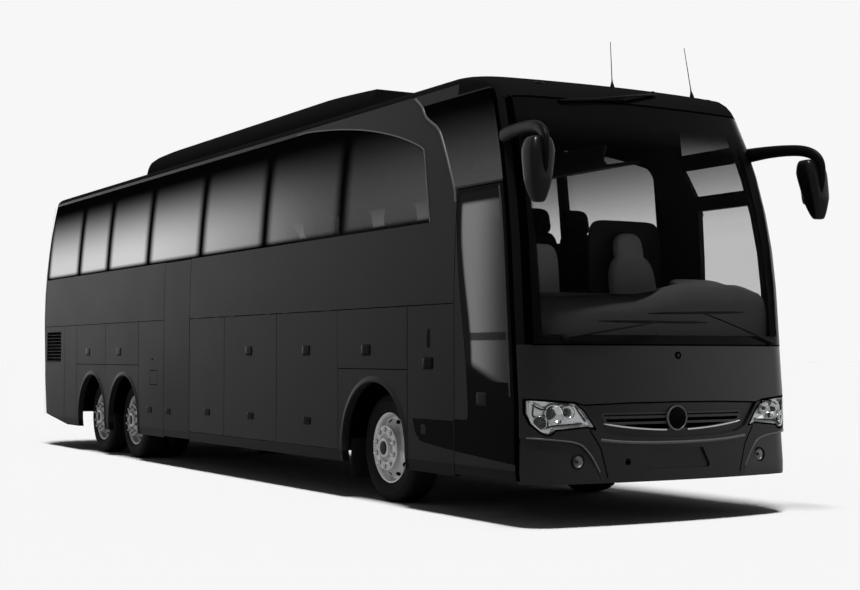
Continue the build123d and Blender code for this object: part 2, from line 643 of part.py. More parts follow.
# Floor deck, cockpit floor and stairwells
STAIR_FRONT = (X_DOOR - 30.0, X_FRONT - 320.0)
STAIR_MID = (MID_DOOR_CENTRE - MID_DOOR_WIDTH / 2 + 4, MID_DOOR_CENTRE + MID_DOOR_WIDTH / 2 - 4)
X_COCKPIT = X_FRONT - COCKPIT_BACK
deck = block(X_REAR, X_COCKPIT, -1400, 1400, DECK_Z - DECK_T, DECK_Z)
deck -= block(STAIR_MID[0], STAIR_MID[1], -1400, -STAIR_Y, 0, 2000)
deck += block(X_COCKPIT - 30, X_COCKPIT, -1400, 1400, COCKPIT_Z - DECK_T, DECK_Z)
front_floor = block(X_COCKPIT - 30, X_FRONT, -1400, 1400, COCKPIT_Z - DECK_T, COCKPIT_Z)
front_floor -= block(STAIR_FRONT[0], STAIR_FRONT[1], -1400, -STAIR_Y, 0, 2000)
deck += front_floor
deck += block(X_COCKPIT - 10, X_COCKPIT + 280, -300, 300, COCKPIT_Z - 10, (COCKPIT_Z + DECK_Z) / 2)


def stairs(x0, x1, top, treads):
    """Folded treads from an upper floor down to the doorway."""
    rise = (top - TREAD_Z) / (treads)
    run = (HALF_WIDTH - WALL - STAIR_Y + 60.0) / treads
    upper = []
    lower = []
    for step in range(treads):
        y = -STAIR_Y - step * run
        z = top - (step + 1) * rise
        upper += [(y, z + rise), (y, z)]
        lower += [(y + TREAD_T, z + rise - TREAD_T), (y + TREAD_T, z - TREAD_T)]
    end = -HALF_WIDTH
    flight = along_x(outline(upper + [(end, TREAD_Z), (end, TREAD_Z - TREAD_T)] + lower[::-1]), x0, x1)
    return flight - block(x0, x1, -STAIR_Y - 1, 0, top - DECK_T - SEAT_GAP, top + 10)


flights = [stairs(*STAIR_FRONT, COCKPIT_Z, 2), stairs(*STAIR_MID, DECK_Z, 3)]
PARTS["floor_deck"] = deck & LINED
PARTS["stairs"] = solids_of([flight & LINED for flight in flights])

# Luggage bay between the middle doorway and the front arch
bay = block(FLAP_X[0] + 20, FLAP_X[-1], -1400, 1400, BAY_FLOOR_Z - BAY_FLOOR_T, BAY_FLOOR_Z)
for x in (FLAP_X[0] + 20 + BULKHEAD_T / 2, FLAP_X[1], FLAP_X[2], FLAP_X[3] - BULKHEAD_T / 2):
    x0, x1 = x - BULKHEAD_T / 2, x + BULKHEAD_T / 2
    bay += block(x0, x1, -1400, 1400, BAY_FLOOR_Z - 5, DECK_Z - DECK_T - SEAT_GAP)
PARTS["luggage_bay"] = bay & LINED

# Subframes fore and aft of the bay
FRONT_RAIL_Y = 235.0
RAIL_Y = 400.0
RAIL_HALF = 38.0
frames = []
COCKPIT_UNDER = COCKPIT_Z - DECK_T - SEAT_GAP
DECK_UNDER = DECK_Z - DECK_T - SEAT_GAP

# Rails: rear end, front end, y, lower z, top of the posts, places of the cross members
RAILS = [
    (FLAP_X[-1] + SEAT_GAP, X_FRONT - 110.0, FRONT_RAIL_Y, 600.0, COCKPIT_UNDER, (3100, 4740, 5250, 6000)),
    (-6180.0, -1420.0, RAIL_Y, 720.0, DECK_UNDER, (-6100, -4700, -3432, -2150, -1500)),
]
for x0, x1, y, z0, z1, crossings in RAILS:
    frame = block(x0, x1, -y - RAIL_HALF, -y + RAIL_HALF, z0, z0 + 150)
    frame += block(x0, x1, y - RAIL_HALF, y + RAIL_HALF, z0, z0 + 150)
    for x in crossings:
        frame += block(x - 40, x + 40, -y, y, z0 + 20, z0 + 130)
        for side in (-1, 1):
            y0, y1 = sorted((side * (y - 30), side * (y + 30)))
            frame += block(x - 30, x + 30, y0, y1, z0 + 100, z1)
    frames.append(frame)
PARTS["subframes"] = solids_of(frames)

# Engine, one plain block hung between the rear rails
ENGINE_Y = RAIL_Y - RAIL_HALF - SEAT_GAP
PARTS["engine"] = block(-5960, -4860, -ENGINE_Y, ENGINE_Y, 470, 1130)

# Wheel houses over every wheel
houses = []
for x, radius, inner in ((X_STEER, ARCH_FRONT_R, LINER_FRONT_Y), (X_DRIVE, ARCH_REAR_R, LINER_REAR_Y),
                         (X_TAG, ARCH_REAR_R, LINER_REAR_Y)):
    for side in (-1, 1):
        y0, y1 = sorted((side * inner, side * (HALF_WIDTH - WALL - SEAT_GAP)))
        full = Pos(x, (y0 + y1) / 2, AXLE_Z) * Rot(90, 0, 0) * Cylinder(radius + LINER_T, y1 - y0)
        w0, w1 = sorted((side * (inner + LINER_T), side * 1400.0))
        hollow = Pos(x, (w0 + w1) / 2, AXLE_Z) * Rot(90, 0, 0) * Cylinder(radius, w1 - w0)
        shell = (full - hollow) & block(x - 800, x + 800, -1400, 1400, AXLE_Z + 60, 1400)
        houses.append(shell)
PARTS["wheel_houses"] = solids_of(houses)

# Axles
eye_low, eye_high = AXLE_Z - 60.0, AXLE_Z + 60.0
beam = block(X_STEER - 45, X_STEER + 45, -KINGPIN_Y, KINGPIN_Y, AXLE_Z - 95, AXLE_Z + 25)
beam -= block(X_STEER - 60, X_STEER + 60, KINGPIN_Y - 120, KINGPIN_Y + 60, AXLE_Z - 200, eye_low)
beam -= block(X_STEER - 60, X_STEER + 60, -KINGPIN_Y - 60, -KINGPIN_Y + 120, AXLE_Z - 200, eye_low)
for side in (-1, 1):
    beam += rod((X_STEER, side * KINGPIN_Y, eye_low), (X_STEER, side * KINGPIN_Y, eye_high), 52)
    beam -= rod((X_STEER, side * KINGPIN_Y, 300), (X_STEER, side * KINGPIN_Y, 700), KINGPIN_R + BORE_GAP)
    y0, y1 = sorted((side * (FRONT_RAIL_Y - 60), side * (FRONT_RAIL_Y + 60)))
    beam += block(X_STEER - 40, X_STEER + 40, y0, y1, AXLE_Z, 600 - SEAT_GAP)
PARTS["front_axle"] = beam
for name, x, bowl in (("drive_axle", X_DRIVE, 215.0), ("tag_axle", X_TAG, 0.0)):
    reach = WHEEL_Y + 40.0
    axle = rod((x, -reach, AXLE_Z), (x, reach, AXLE_Z), SPINDLE_R)
    axle += rod((x, -500, AXLE_Z), (x, 500, AXLE_Z), 85)
    if bowl:
        axle += Pos(x, 0, AXLE_Z) * Rot(0, 90, 0) * Cylinder(bowl, 300)
    for side in (-1, 1):
        y0, y1 = sorted((side * (RAIL_Y - 45), side * (RAIL_Y + 45)))
        axle += block(x - 60, x + 60, y0, y1, AXLE_Z, 720 - SEAT_GAP)
    PARTS[name] = axle


def knuckle(side):
    """Steering knuckle: kingpin, fork round the beam eye, and the wheel spindle."""
    y = side * KINGPIN_Y
    piece = rod((X_STEER, y, eye_low - 45), (X_STEER, y, eye_high + 45), KINGPIN_R)
    y0, y1 = sorted((y - side * 40, y + side * 96))
    piece += block(X_STEER - 45, X_STEER + 45, y0, y1, eye_high + 1, eye_high + 45)
    piece += block(X_STEER - 45, X_STEER + 45, y0, y1, eye_low - 45, eye_low - 1)
    y0, y1 = sorted((y + side * 62, y + side * 96))
    piece += block(X_STEER - 45, X_STEER + 45, y0, y1, eye_low - 45, eye_high + 45)
    piece += rod((X_STEER, y + side * 70, AXLE_Z), (X_STEER, side * (WHEEL_Y + 40), AXLE_Z), SPINDLE_R)
    return piece


PARTS["knuckle_left"] = knuckle(1)
PARTS["knuckle_right"] = knuckle(-1)


# Tyre and rim, each turned about the wheel line and placed by its middle plane
def turned(points, x, y, side):
    """Profile of radius against width, turned about the axle line."""
    face = outline([(r, side * w) for r, w in points])
    return Pos(x, y, AXLE_Z) * revolve(face, Axis.Y)


HALF_TYRE = TYRE_W / 2
TYRE_HALF = [(TYRE_BEAD_R, 104), (302, 106), (350, HALF_TYRE), (TYRE_R - 40, HALF_TYRE - 4),
             (TYRE_R, HALF_TYRE - 34)]
TYRE = [(r, -w) for r, w in TYRE_HALF] + TYRE_HALF[::-1]
LIP_W = HALF_TYRE - 15.0
FLANGE_W = LIP_W + 48.0
RIM = [(RIM_R - 16, -LIP_W), (RIM_R, -LIP_W), (RIM_R, LIP_W - 12), (RIM_R + 13, LIP_W), (RIM_R - 10, LIP_W),
       (RIM_R - 22, LIP_W - 26), (RIM_R - 36, 72), (196, FLANGE_W - 16), (190, FLANGE_W), (122, FLANGE_W),
       (118, FLANGE_W - 30), (84, FLANGE_W - 30), (80, FLANGE_W + 18), (62, FLANGE_W + 30), (0, FLANGE_W + 30),
       (0, 41), (SPINDLE_R + BORE_GAP, 41), (SPINDLE_R + BORE_GAP, -20), (100, -20), (100, FLANGE_W - 70),
       (170, FLANGE_W - 40), (RIM_R - 48, 48)]
TWIN_RIM = [(RIM_R - 16, -LIP_W), (RIM_R, -LIP_W), (RIM_R, LIP_W), (RIM_R - 16, LIP_W), (RIM_R - 16, 92),
            (100, 92), (100, 0), (SPINDLE_R + BORE_GAP + 45, 0), (SPINDLE_R + BORE_GAP + 45, -40),
            (SPINDLE_R + BORE_GAP, -40), (SPINDLE_R + BORE_GAP, 92 - 30), (104, 62), (RIM_R - 16, 62)]
HAND_HOLES = 10


def rim(x, side):
    """Wheel disc with its raised bolt ring, hub and hand holes."""
    piece = turned(RIM, x, side * WHEEL_Y, side)
    for number in range(HAND_HOLES):
        turn = 360.0 / HAND_HOLES * number
        hole = Pos(0, side * 90, 222) * Rot(90, 0, 0) * Cylinder(19, 110)
        piece -= Pos(x, side * WHEEL_Y, AXLE_Z) * Rot(0, turn, 0) * hole
    return piece


for side, word in ((1, "left"), (-1, "right")):
    PARTS[f"tyre_front_{word}"] = turned(TYRE, X_STEER, side * WHEEL_Y, side)
    PARTS[f"rim_front_{word}"] = rim(X_STEER, side)
    twin_y = side * (WHEEL_Y - TWIN_PITCH)
    twins = [turned(TYRE, X_DRIVE, side * WHEEL_Y, side), turned(TYRE, X_DRIVE, twin_y, side)]
    PARTS[f"tyres_drive_{word}"] = solids_of(twins)
    rims = [rim(X_DRIVE, side), turned(TWIN_RIM, X_DRIVE, twin_y, side)]
    PARTS[f"rims_drive_{word}"] = solids_of(rims)
    PARTS[f"tyre_tag_{word}"] = turned(TYRE, X_TAG, side * WHEEL_Y, side)
    PARTS[f"rim_tag_{word}"] = rim(X_TAG, side)

# Seats, racks and driving place
SEAT = [(-60, 0), (-340, 0), (-340, 300), (-470, 330), (-640, 1060), (-600, 1130), (-530, 1120), (-380, 470),
        (0, 450), (20, 340), (-60, 300)]
seats = []
for row in range(SEAT_ROWS):
    x = SEAT_FIRST_X - row * SEAT_PITCH
    side_view = outline([(x + dx, DECK_Z + SEAT_GAP + dz) for dx, dz in SEAT])
    seats.append(along_y(side_view, AISLE_Y, AISLE_Y + SEAT_WIDTH))
    if x - 660 > STAIR_MID[1] or x + 40 < STAIR_MID[0]:
        seats.append(along_y(side_view, -AISLE_Y - SEAT_WIDTH, -AISLE_Y))
DRIVER_X = 5210.0
DRIVER_Y = 640.0
DRIVER_SEAT = [(-120, 0), (-380, 0), (-380, 330), (-520, 360), (-640, 1080), (-690, 1110), (-720, 1330),
               (-640, 1340), (-590, 1110), (-540, 1080), (-430, 500), (0, 480), (30, 360), (-120, 330)]
side_view = outline([(DRIVER_X + dx, COCKPIT_Z + SEAT_GAP + dz) for dx, dz in DRIVER_SEAT])
seats.append(along_y(side_view, DRIVER_Y - 250, DRIVER_Y + 250))
PARTS["seats"] = solids_of(seats)

# Luggage rack section: y, z
RACK = [(690, 2960), (740, 2920), (1300, 3010), (1300, 3040), (760, 2952), (725, 2985), (760, 3120),
        (735, 3130)]
racks = []
for side in (-1, 1):
    face = outline([(side * y, z) for y, z in RACK])
    racks.append(along_x(face, X_REAR_POST + 100, 4300) & LINED)
PARTS["racks"] = solids_of(racks)

DASH = [(5570, 1190), (5610, 1450), (5700, 1520), (5830, 1530), (6060, 1400), (6100, COCKPIT_Z + SEAT_GAP),
        (5880, COCKPIT_Z + SEAT_GAP), (5800, 1120)]
dash = along_y(outline(DASH), 150, 1400)
shelf = [(5880, 1130), (5880, 1380), (5930, 1410), (6060, 1390), (6100, 1130)]
dash += along_y(outline(shelf), -1400, 200)
STEER_AXIS = (-0.5, 0.0, math.sqrt(0.75))
WHEEL_AT = (5440.0, DRIVER_Y, 1560.0)
column_foot = (WHEEL_AT[0] + 0.5 * 330, DRIVER_Y, WHEEL_AT[2] - STEER_AXIS[2] * 330)
column_head = (WHEEL_AT[0] + 0.5 * 60, DRIVER_Y, WHEEL_AT[2] - STEER_AXIS[2] * 60)
dash += rod(column_foot, column_head, 42)
PARTS["dashboard"] = dash & body_block(WALL + 14.0)

STEER_PLANE = Plane(origin=WHEEL_AT, x_dir=(0, 1, 0), z_dir=STEER_AXIS)
STEER_R = 225.0
wheel = Torus(STEER_R, 15) + Pos(0, 0, -28) * Cylinder(55, 64 - 1)
for turn in (0.0, 120.0, 240.0):
    wheel += Rot(0, 0, turn + 90) * Pos(STEER_R / 2, 0, -6) * Box(STEER_R, 34, 12)
PARTS["steering_wheel"] = STEER_PLANE * wheel

# Mirrors: arm from the pillar, bending down in front of the head
MIRROR_X = X_FRONT + MIRROR_REACH
MIRROR_FOOT = (5640.0, 1185.0, 2900.0)
MIRROR_TURN = math.radians(10.5)
MIRROR_BEND = 210.0
ARM_DEEP = 54.0
ARM_WIDE = 32.0
HEAD_FRONT = [(1200, 2640), (1215, 2805), (1400, 2805), (1424, 2600), (1405, 2330), (1250, 2330)]
HEAD_SIDE = [(6150, 2620), (6180, 2805), (6300, 2805), (6345, 2560), (6320, 2330), (6200, 2330)]
out_x, out_y = math.cos(MIRROR_TURN), math.sin(MIRROR_TURN)
arm_tip = math.hypot(ARM_DEEP * out_x, ARM_WIDE * out_y)
arm_run = (MIRROR_X - arm_tip - MIRROR_FOOT[0]) / out_x - MIRROR_BEND
arm_plane = Plane(origin=MIRROR_FOOT, x_dir=(out_x, out_y, 0), z_dir=(out_y, -out_x, 0))
corner = MIRROR_BEND * math.sqrt(0.5)
arm_path = Line((0, 0), (arm_run, 0)) + ThreePointArc(
    (arm_run, 0), (arm_run + corner, corner - MIRROR_BEND), (arm_run + MIRROR_BEND, -MIRROR_BEND))
foot_plane = Plane(origin=MIRROR_FOOT, x_dir=(0, 0, 1), z_dir=(out_x, out_y, 0))
arm = sweep(foot_plane * Ellipse(ARM_DEEP, ARM_WIDE), path=arm_plane * arm_path)
head = along_x(outline(HEAD_FRONT, 60.0), 6100, 6400) & along_y(outline(HEAD_SIDE, 55.0), 1100, 1500)
left_mirror = (head + arm) - PARTS["front_cap"] - OUTER
PARTS["mirrors"] = solids_of([left_mirror, mirror(left_mirror, about=Plane.XZ)])

WIPER_LIFT = 30.0


def front_x(y, z):
    """Front surface of the body at a width and height, short of the corners."""
    return X_FRONT - front_setback(z) - (NOSE_PLAN_R - math.sqrt(NOSE_PLAN_R ** 2 - y ** 2))


def wiper(pivot, blade_from, blade_to):
    """Wiper: pivot boss on the front, arm and blade standing just off the glass."""
    foot = (front_x(*pivot) + SEAT_GAP, pivot[0], pivot[1])
    boss = Plane(origin=foot, z_dir=(1, 0, 0)) * Pos(0, 0, 15) * Cylinder(22, 30)
    start = Vector(front_x(*pivot) + 22, *pivot)
    tail = Vector(front_x(*blade_from) + WIPER_LIFT, *blade_from)
    head = Vector(front_x(*blade_to) + WIPER_LIFT, *blade_to)
    middle = (tail + head) * 0.5
    return (boss + rod(start, middle, 9) + rod(tail, head, 8)) - OUTER


# Wipers: pivot, tail and head of the blade, each y and z on the front
WIPERS = [
    ((-962, 1384), (-677, 1504), (319, 1504)),
    ((1034, 1355), (-233, 1567), (735, 1591)),
    ((240, 3300), (-140, 3245), (-760, 3185)),
]
PARTS["wipers"] = solids_of([wiper(*row) for row in WIPERS])

for name, shape in PARTS.items():
    export_step(shape, f"parts/{name}.step")
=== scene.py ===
"""Looks of a three-axle touring coach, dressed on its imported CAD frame.

Every sub-assembly is a class that holds its sizes and builds or dresses its own pieces. Shapes are numpy
surfaces on grids, in metres: +X forward, +Y to the coach's left, +Z up, with the ground at zero.
"""
import logging
import math
from dataclasses import dataclass
from enum import Enum
from functools import cached_property
from typing import Any, Iterable, Optional, Sequence, Union

import bmesh
import bpy
import numpy as np
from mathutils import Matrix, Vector


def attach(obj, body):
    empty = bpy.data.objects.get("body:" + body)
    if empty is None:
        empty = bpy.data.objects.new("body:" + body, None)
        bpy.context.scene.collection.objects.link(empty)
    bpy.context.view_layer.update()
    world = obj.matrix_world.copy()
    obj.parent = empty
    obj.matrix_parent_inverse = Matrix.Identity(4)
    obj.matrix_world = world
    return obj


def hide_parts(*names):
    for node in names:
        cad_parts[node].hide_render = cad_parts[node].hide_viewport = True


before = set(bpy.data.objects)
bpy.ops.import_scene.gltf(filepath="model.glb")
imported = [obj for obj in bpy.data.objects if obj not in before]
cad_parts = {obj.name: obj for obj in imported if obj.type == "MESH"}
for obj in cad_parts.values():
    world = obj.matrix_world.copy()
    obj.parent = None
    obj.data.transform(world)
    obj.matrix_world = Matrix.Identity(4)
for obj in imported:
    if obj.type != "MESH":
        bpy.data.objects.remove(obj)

log = logging.getLogger("coach")
Array = np.ndarray
Number = Union[float, "Val"]
Colour = tuple[float, float, float]
Point = tuple[float, float, float]
Knots = tuple[tuple[float, float], ...]
ROOT = "coach"
FULL_TURN = 2 * math.pi
AHEAD = (1, 0, 0)
BEHIND = (-1, 0, 0)


class Side(Enum):
    """The two sides of the coach, by the sign of their Y."""

    LEFT = 1
    RIGHT = -1

    @property
    def word(self) -> str:
        """Side name as node names spell it."""
        return self.name.lower()

    @property
    def outward(self) -> tuple[float, float, float]:
        """Direction that faces away from the coach."""
        return (0.0, float(self.value), 0.0)


class Axle(Enum):
    """The three axles: name in node names, place along X and whether twins are fitted."""

    FRONT = ("front", 3.693, False)
    DRIVE = ("drive", -2.807, True)
    TAG = ("tag", -4.057, False)

    @property
    def word(self) -> str:
        """Axle name as node names spell it."""
        return self.value[0]

    @property
    def x(self) -> float:
        """Axle line along the coach."""
        return self.value[1]

    @property
    def twin(self) -> bool:
        """Whether each end carries two tyres."""
        return self.value[2]


class Val:
    """A shader value that turns Python arithmetic into math nodes."""

    def __init__(self, tree: bpy.types.NodeTree, source: Any) -> None:
        """Wraps a socket or a plain number.

        Args:
            tree: node tree that new nodes join.
            source: output socket or number.
        """
        self.tree = tree
        self.source = source

    def node(self, kind: str, *inputs: Any, out: int = 0, **settings: Any) -> "Val":
        """Adds any node and feeds its first inputs.

        Args:
            kind: Blender node type.
            inputs: values for its inputs in order, None to skip one.
            out: output to hand back.
            settings: node properties.

        Returns:
            The chosen output as a value.
        """
        made = self.tree.nodes.new(kind)
        for name, value in settings.items():
            setattr(made, name, value)
        for place, value in enumerate(inputs):
            if value is not None:
                self.feed(made.inputs[place], value)
        return Val(self.tree, made.outputs[out])

    def feed(self, socket: bpy.types.NodeSocket, value: Any) -> None:
        """Links or sets one input socket.

        Args:
            socket: the input.
            value: a Val, a number or a tuple.
        """
        source = value.source if isinstance(value, Val) else value
        if isinstance(source, bpy.types.NodeSocket):
            self.tree.links.new(source, socket)
        else:
            socket.default_value = source

    def math(self, operation: str, *others: Number) -> "Val":
        """Math node with this value first.

        Args:
            operation: Blender math operation.
            others: further operands.

        Returns:
            The result.
        """
        return self.node("ShaderNodeMath", self, *others, operation=operation)

    def __add__(self, other: Number) -> "Val":
        """Sum."""
        return self.math("ADD", other)

    __radd__ = __add__

    def __sub__(self, other: Number) -> "Val":
        """Difference."""
        return self.math("SUBTRACT", other)

    def __rsub__(self, other: Number) -> "Val":
        """Difference from a number."""
        return Val(self.tree, other).math("SUBTRACT", self)

    def __mul__(self, other: Number) -> "Val":
        """Product."""
        return self.math("MULTIPLY", other)

    __rmul__ = __mul__

    def __abs__(self) -> "Val":
        """Distance from zero."""
        return self.math("ABSOLUTE")

    def __or__(self, other: Number) -> "Val":
        """The larger of two masks."""
        return self.math("MAXIMUM", other)

    def step(self, low: Number, high: Number) -> "Val":
        """Smooth rise from 0 at low to 1 at high."""
        return self.node("ShaderNodeMapRange", self, low, high, 0.0, 1.0, interpolation_type="SMOOTHSTEP")

    def mix(self, first: Any, second: Any) -> "Val":
        """Colour blend by this factor, from first at 0 to second at 1."""
        made = self.tree.nodes.new("ShaderNodeMix")
        made.data_type = "RGBA"
        self.feed(made.inputs[0], self)
        self.feed(made.inputs[6], first)
        self.feed(made.inputs[7], second)
        return Val(self.tree, made.outputs[2])


class Place:
    """Object coordinates as shader values, with the textures that read them."""

    def __init__(self, tree: bpy.types.NodeTree) -> None:
        """Adds the coordinate nodes.

        Args:
            tree: node tree to work in.
        """
        self.tree = tree
        self.point = Val(tree, 0.0).node("ShaderNodeTexCoord", out=3)
        split = tree.nodes.new("ShaderNodeSeparateXYZ")
        tree.links.new(self.point.source, split.inputs[0])
        self.x, self.y, self.z = (Val(tree, split.outputs[i]) for i in range(3))

    def noise(self, scale: float, detail: float = 2.0) -> Val:
        """Noise from 0 to 1 over the object's own coordinates."""
        return self.point.node("ShaderNodeTexNoise", self.point, None, scale, detail)

    def bump(self, height: Val, strength: float, distance: float) -> Val:
        """Normal bent by a height value."""
        return height.node("ShaderNodeBump", strength, distance, None, height)


@dataclass(frozen=True)
class Finish:
    """Plain surface finish, made into one Blender material the first time it is asked for."""

    name: str
    color: Colour
    roughness: float = 0.4
    metallic: float = 0.0
    coat: float = 0.0
    specular: float = 0.5
    alpha: float = 1.0
    grain: float = 0.0
    glow: float = 0.0

    def vary(self, place: Place, shader: bpy.types.Node) -> None:
        """Roughness wanders a little over the surface; a grain bends the normal where one is set."""
        wear = place.noise(7.0, 3.0)
        wear.feed(shader.inputs["Roughness"], wear * 0.12 + max(self.roughness - 0.06, 0.0))
        if self.grain:
            wear.feed(shader.inputs["Normal"], place.bump(place.noise(1.0 / self.grain), 0.2, self.grain))

    @property
    def material(self) -> bpy.types.Material:
        """The Blender material of this finish."""
        known = bpy.data.materials.get(self.name)
        return known if known else self._make()

    def _make(self) -> bpy.types.Material:
        """Builds the node tree."""
        made = bpy.data.materials.new(self.name)
        made.use_nodes = True
        shader = made.node_tree.nodes["Principled BSDF"]
        constants = {
            "Base Color": (*self.color, 1.0), "Roughness": self.roughness, "Metallic": self.metallic,
            "Coat Weight": self.coat, "Coat Roughness": 0.04, "Specular IOR Level": self.specular,
            "Alpha": self.alpha, "Emission Strength": self.glow,
        }
        for socket, value in constants.items():
            shader.inputs[socket].default_value = value
        self.vary(Place(made.node_tree), shader)
        made.diffuse_color = (*self.color, self.alpha)
        return made


@dataclass(frozen=True)
class Paint(Finish):
    """Body paint: faint unevenness of gloss, and a darker skirt strip under the sill."""

    skirt: float = 1.0
    sill: float = 0.414

    def vary(self, place: Place, shader: bpy.types.Node) -> None:
        """Roughness follows a broad noise; the colour drops by the skirt share below the sill."""
        patch = place.noise(1.7)
        patch.feed(shader.inputs["Roughness"], patch * 0.08 + (self.roughness - 0.04))
        low = tuple(c * self.skirt for c in self.color)
        above = place.z.step(self.sill - 0.003, self.sill + 0.003)
        tone = above.mix((*low, 1.0), (*self.color, 1.0))
        patch.feed(shader.inputs["Base Color"], tone)


@dataclass(frozen=True)
class SideGlass(Finish):
    """Side glass: dense sun band on top, a pale glow of painted light lower down toward the tail, dark pane
    edges.
    """

    pale: Colour = (0.62, 0.62, 0.62)
    low: float = 2.317
    high: float = 3.3
    tail: tuple[float, float] = (-3.0, 3.6)
    ahead: tuple[float, float] = (0.8, 2.6)
    band_low: float = 2.2
    band_alpha: float = 0.8
    tail_alpha: float = 0.97
    far_alpha: float = 0.22
    joints: tuple[float, ...] = (-6.181, -4.710, -3.495, -2.004, -0.333, 1.357, 3.026)

    def vary(self, place: Place, shader: bpy.types.Node) -> None:
        """Painted glow = fade(z) * tail(x) * edges, painted light that sets the colour and the emission; the
        opacity is set with the sun band.
        """
        fade = 1.0 - place.z.step(self.low + 0.12, self.high - 0.05)
        fade = fade * place.z.step(self.low + 0.01, self.low + 0.07)
        painted_glow = fade * (1.0 - place.x.step(*self.tail) * 0.86)
        for joint in self.joints:
            painted_glow = painted_glow * abs(place.x - joint).step(0.015, 0.20)
        # Painted light: the glass turns pale and glows where the painted glow is high.
        painted_glow.feed(shader.inputs["Base Color"], painted_glow.mix((*self.color, 1.0), (*self.pale, 1.0)))
        painted_glow.feed(shader.inputs["Emission Color"], painted_glow.mix((0.0, 0.0, 0.0, 1.0), (*self.pale, 1.0)))
        band = place.z.step(self.band_low, self.high)
        ahead = place.x.step(*self.ahead)
        low = self.alpha + (1.0 - place.y.step(-0.1, 0.1)) * self.far_alpha
        clear = low + band * (self.band_alpha - low)
        painted_glow.feed(shader.inputs["Alpha"], self.tail_alpha - ahead * (self.tail_alpha - clear))


@dataclass(frozen=True)
class ScreenGlass(Finish):
    """Windscreen: clear middle with an opaque black border printed on it."""

    low: float = 1.395
    high: float = 3.08
    half: float = 1.125

    def vary(self, place: Place, shader: bpy.types.Node) -> None:
        """Border = the largest of the lower, upper and outer masks; it sets the opacity."""
        lower = 1.0 - place.z.step(self.low, self.low + 0.012)
        upper = place.z.step(self.high - 0.25, self.high)
        outer = abs(place.y).step(self.half, self.half + 0.02)
        border = lower | upper | outer
        border.feed(shader.inputs["Alpha"], self.alpha + border * (1.0 - self.alpha))


@dataclass(frozen=True)
class DoorGlass(Finish):
    """Door glass: a pale glow of painted light toward its rear edge, dark toward the front, with a black
    printed border.
    """

    pale: Colour = (0.3, 0.3, 0.3)
    rear_edge: float = 5.095
    rear_slant: float = 0.17
    border: float = 0.045
    top_edge: tuple[float, float] = (2.4, 2.44)
    low_edge: tuple[float, float] = (1.22, 1.30)
    low_slope: float = 0.36
    rail_low: tuple[float, float] = (1.36, 1.37)
    rail_high: tuple[float, float] = (1.42, 1.43)
    fade: tuple[float, float] = (5.25, 5.78)

    def vary(self, place: Place, shader: bpy.types.Node) -> None:
        """Painted door glow = inside * fall to the front * gap at the rail; inside = clear of every printed
        edge.
        """
        edge = self.rear_edge + (1.0 - place.z.step(1.2, 2.35)) * self.rear_slant
        inside = (place.x - edge).step(0.0, self.border) * (1.0 - place.z.step(*self.top_edge))
        rise = place.z + (place.x - 5.1) * self.low_slope
        inside = inside * rise.step(*self.low_edge)
        rail = place.z.step(*self.rail_low) * (1.0 - place.z.step(*self.rail_high))
        painted_door_glow = inside * (1.0 - place.x.step(*self.fade) * 0.85) * (1.0 - rail * 0.8)
        # Painted light: the door glass turns pale and glows where the painted door glow is high.
        painted_door_glow.feed(shader.inputs["Base Color"], painted_door_glow.mix((*self.color, 1.0), (*self.pale, 1.0)))
        painted_door_glow.feed(shader.inputs["Emission Color"], painted_door_glow.mix((0.0, 0.0, 0.0, 1.0), (*self.pale, 1.0)))
        painted_door_glow.feed(shader.inputs["Alpha"], 1.0 - inside * (1.0 - self.alpha))


@dataclass(frozen=True)
class TailLens(Finish):
    """Tail lamp: red field with an amber and a white chamber, each with a moulded pattern of lenses."""

    amber: Colour = (0.42, 0.12, 0.01)
    white: Colour = (0.55, 0.55, 0.55)
    amber_low: float = 1.12
    amber_high: float = 1.26
    white_high: float = 0.90
    joint: float = 0.002
    wave: float = 320.0

    def vary(self, place: Place, shader: bpy.types.Node) -> None:
        """Chambers change by height; bump is a sum of two waves across the lens."""
        first = place.z.step(self.amber_low - self.joint, self.amber_low + self.joint)
        first = first * (1.0 - place.z.step(self.amber_high - self.joint, self.amber_high + self.joint))
        second = 1.0 - place.z.step(self.white_high - self.joint, self.white_high + self.joint)
        tone = first.mix((*self.color, 1.0), (*self.amber, 1.0))
        tone = second.mix(tone, (*self.white, 1.0))
        tone.feed(shader.inputs["Base Color"], tone)
        waves = (place.y * self.wave).math("SINE") + (place.z * self.wave).math("SINE")
        tone.feed(shader.inputs["Normal"], place.bump(waves, 0.4, 0.003))


@dataclass(frozen=True)
class Rubber(Finish):
    """Tyre rubber with a fine grain."""

    def vary(self, place: Place, shader: bpy.types.Node) -> None:
        """Roughness and normal follow a fine noise."""
        grain = place.noise(90.0, 4.0)
        grain.feed(shader.inputs["Roughness"], grain * 0.2 + (self.roughness - 0.1))
        grain.feed(shader.inputs["Normal"], place.bump(grain, 0.25, 0.002))


@dataclass(frozen=True)
class Cloth(Finish):
    """Woven seat cover with a soft fleck."""

    fleck: Colour = (0.2, 0.2, 0.2)

    def vary(self, place: Place, shader: bpy.types.Node) -> None:
        """Fleck = step(noise) picks the second colour; the weave bends the normal."""
        fleck = place.noise(46.0, 3.0).step(0.5, 0.68)
        fleck.feed(shader.inputs["Base Color"], fleck.mix((*self.color, 1.0), (*self.fleck, 1.0)))
        fleck.feed(shader.inputs["Normal"], place.bump(place.noise(320.0), 0.3, 0.002))


@dataclass(frozen=True)
class BrushedMetal(Finish):
    """Turned or brushed metal: tone changes in a broad noise and gloss in a fine one."""

    def vary(self, place: Place, shader: bpy.types.Node) -> None:
        """Roughness follows a fine noise, the colour a broad one."""
        fine = place.noise(160.0, 3.0)
        fine.feed(shader.inputs["Roughness"], fine * 0.16 + (self.roughness - 0.08))
        dull = tuple(c * 0.72 for c in self.color)
        fine.feed(shader.inputs["Base Color"], place.noise(9.0, 3.0).mix((*dull, 1.0), (*self.color, 1.0)))


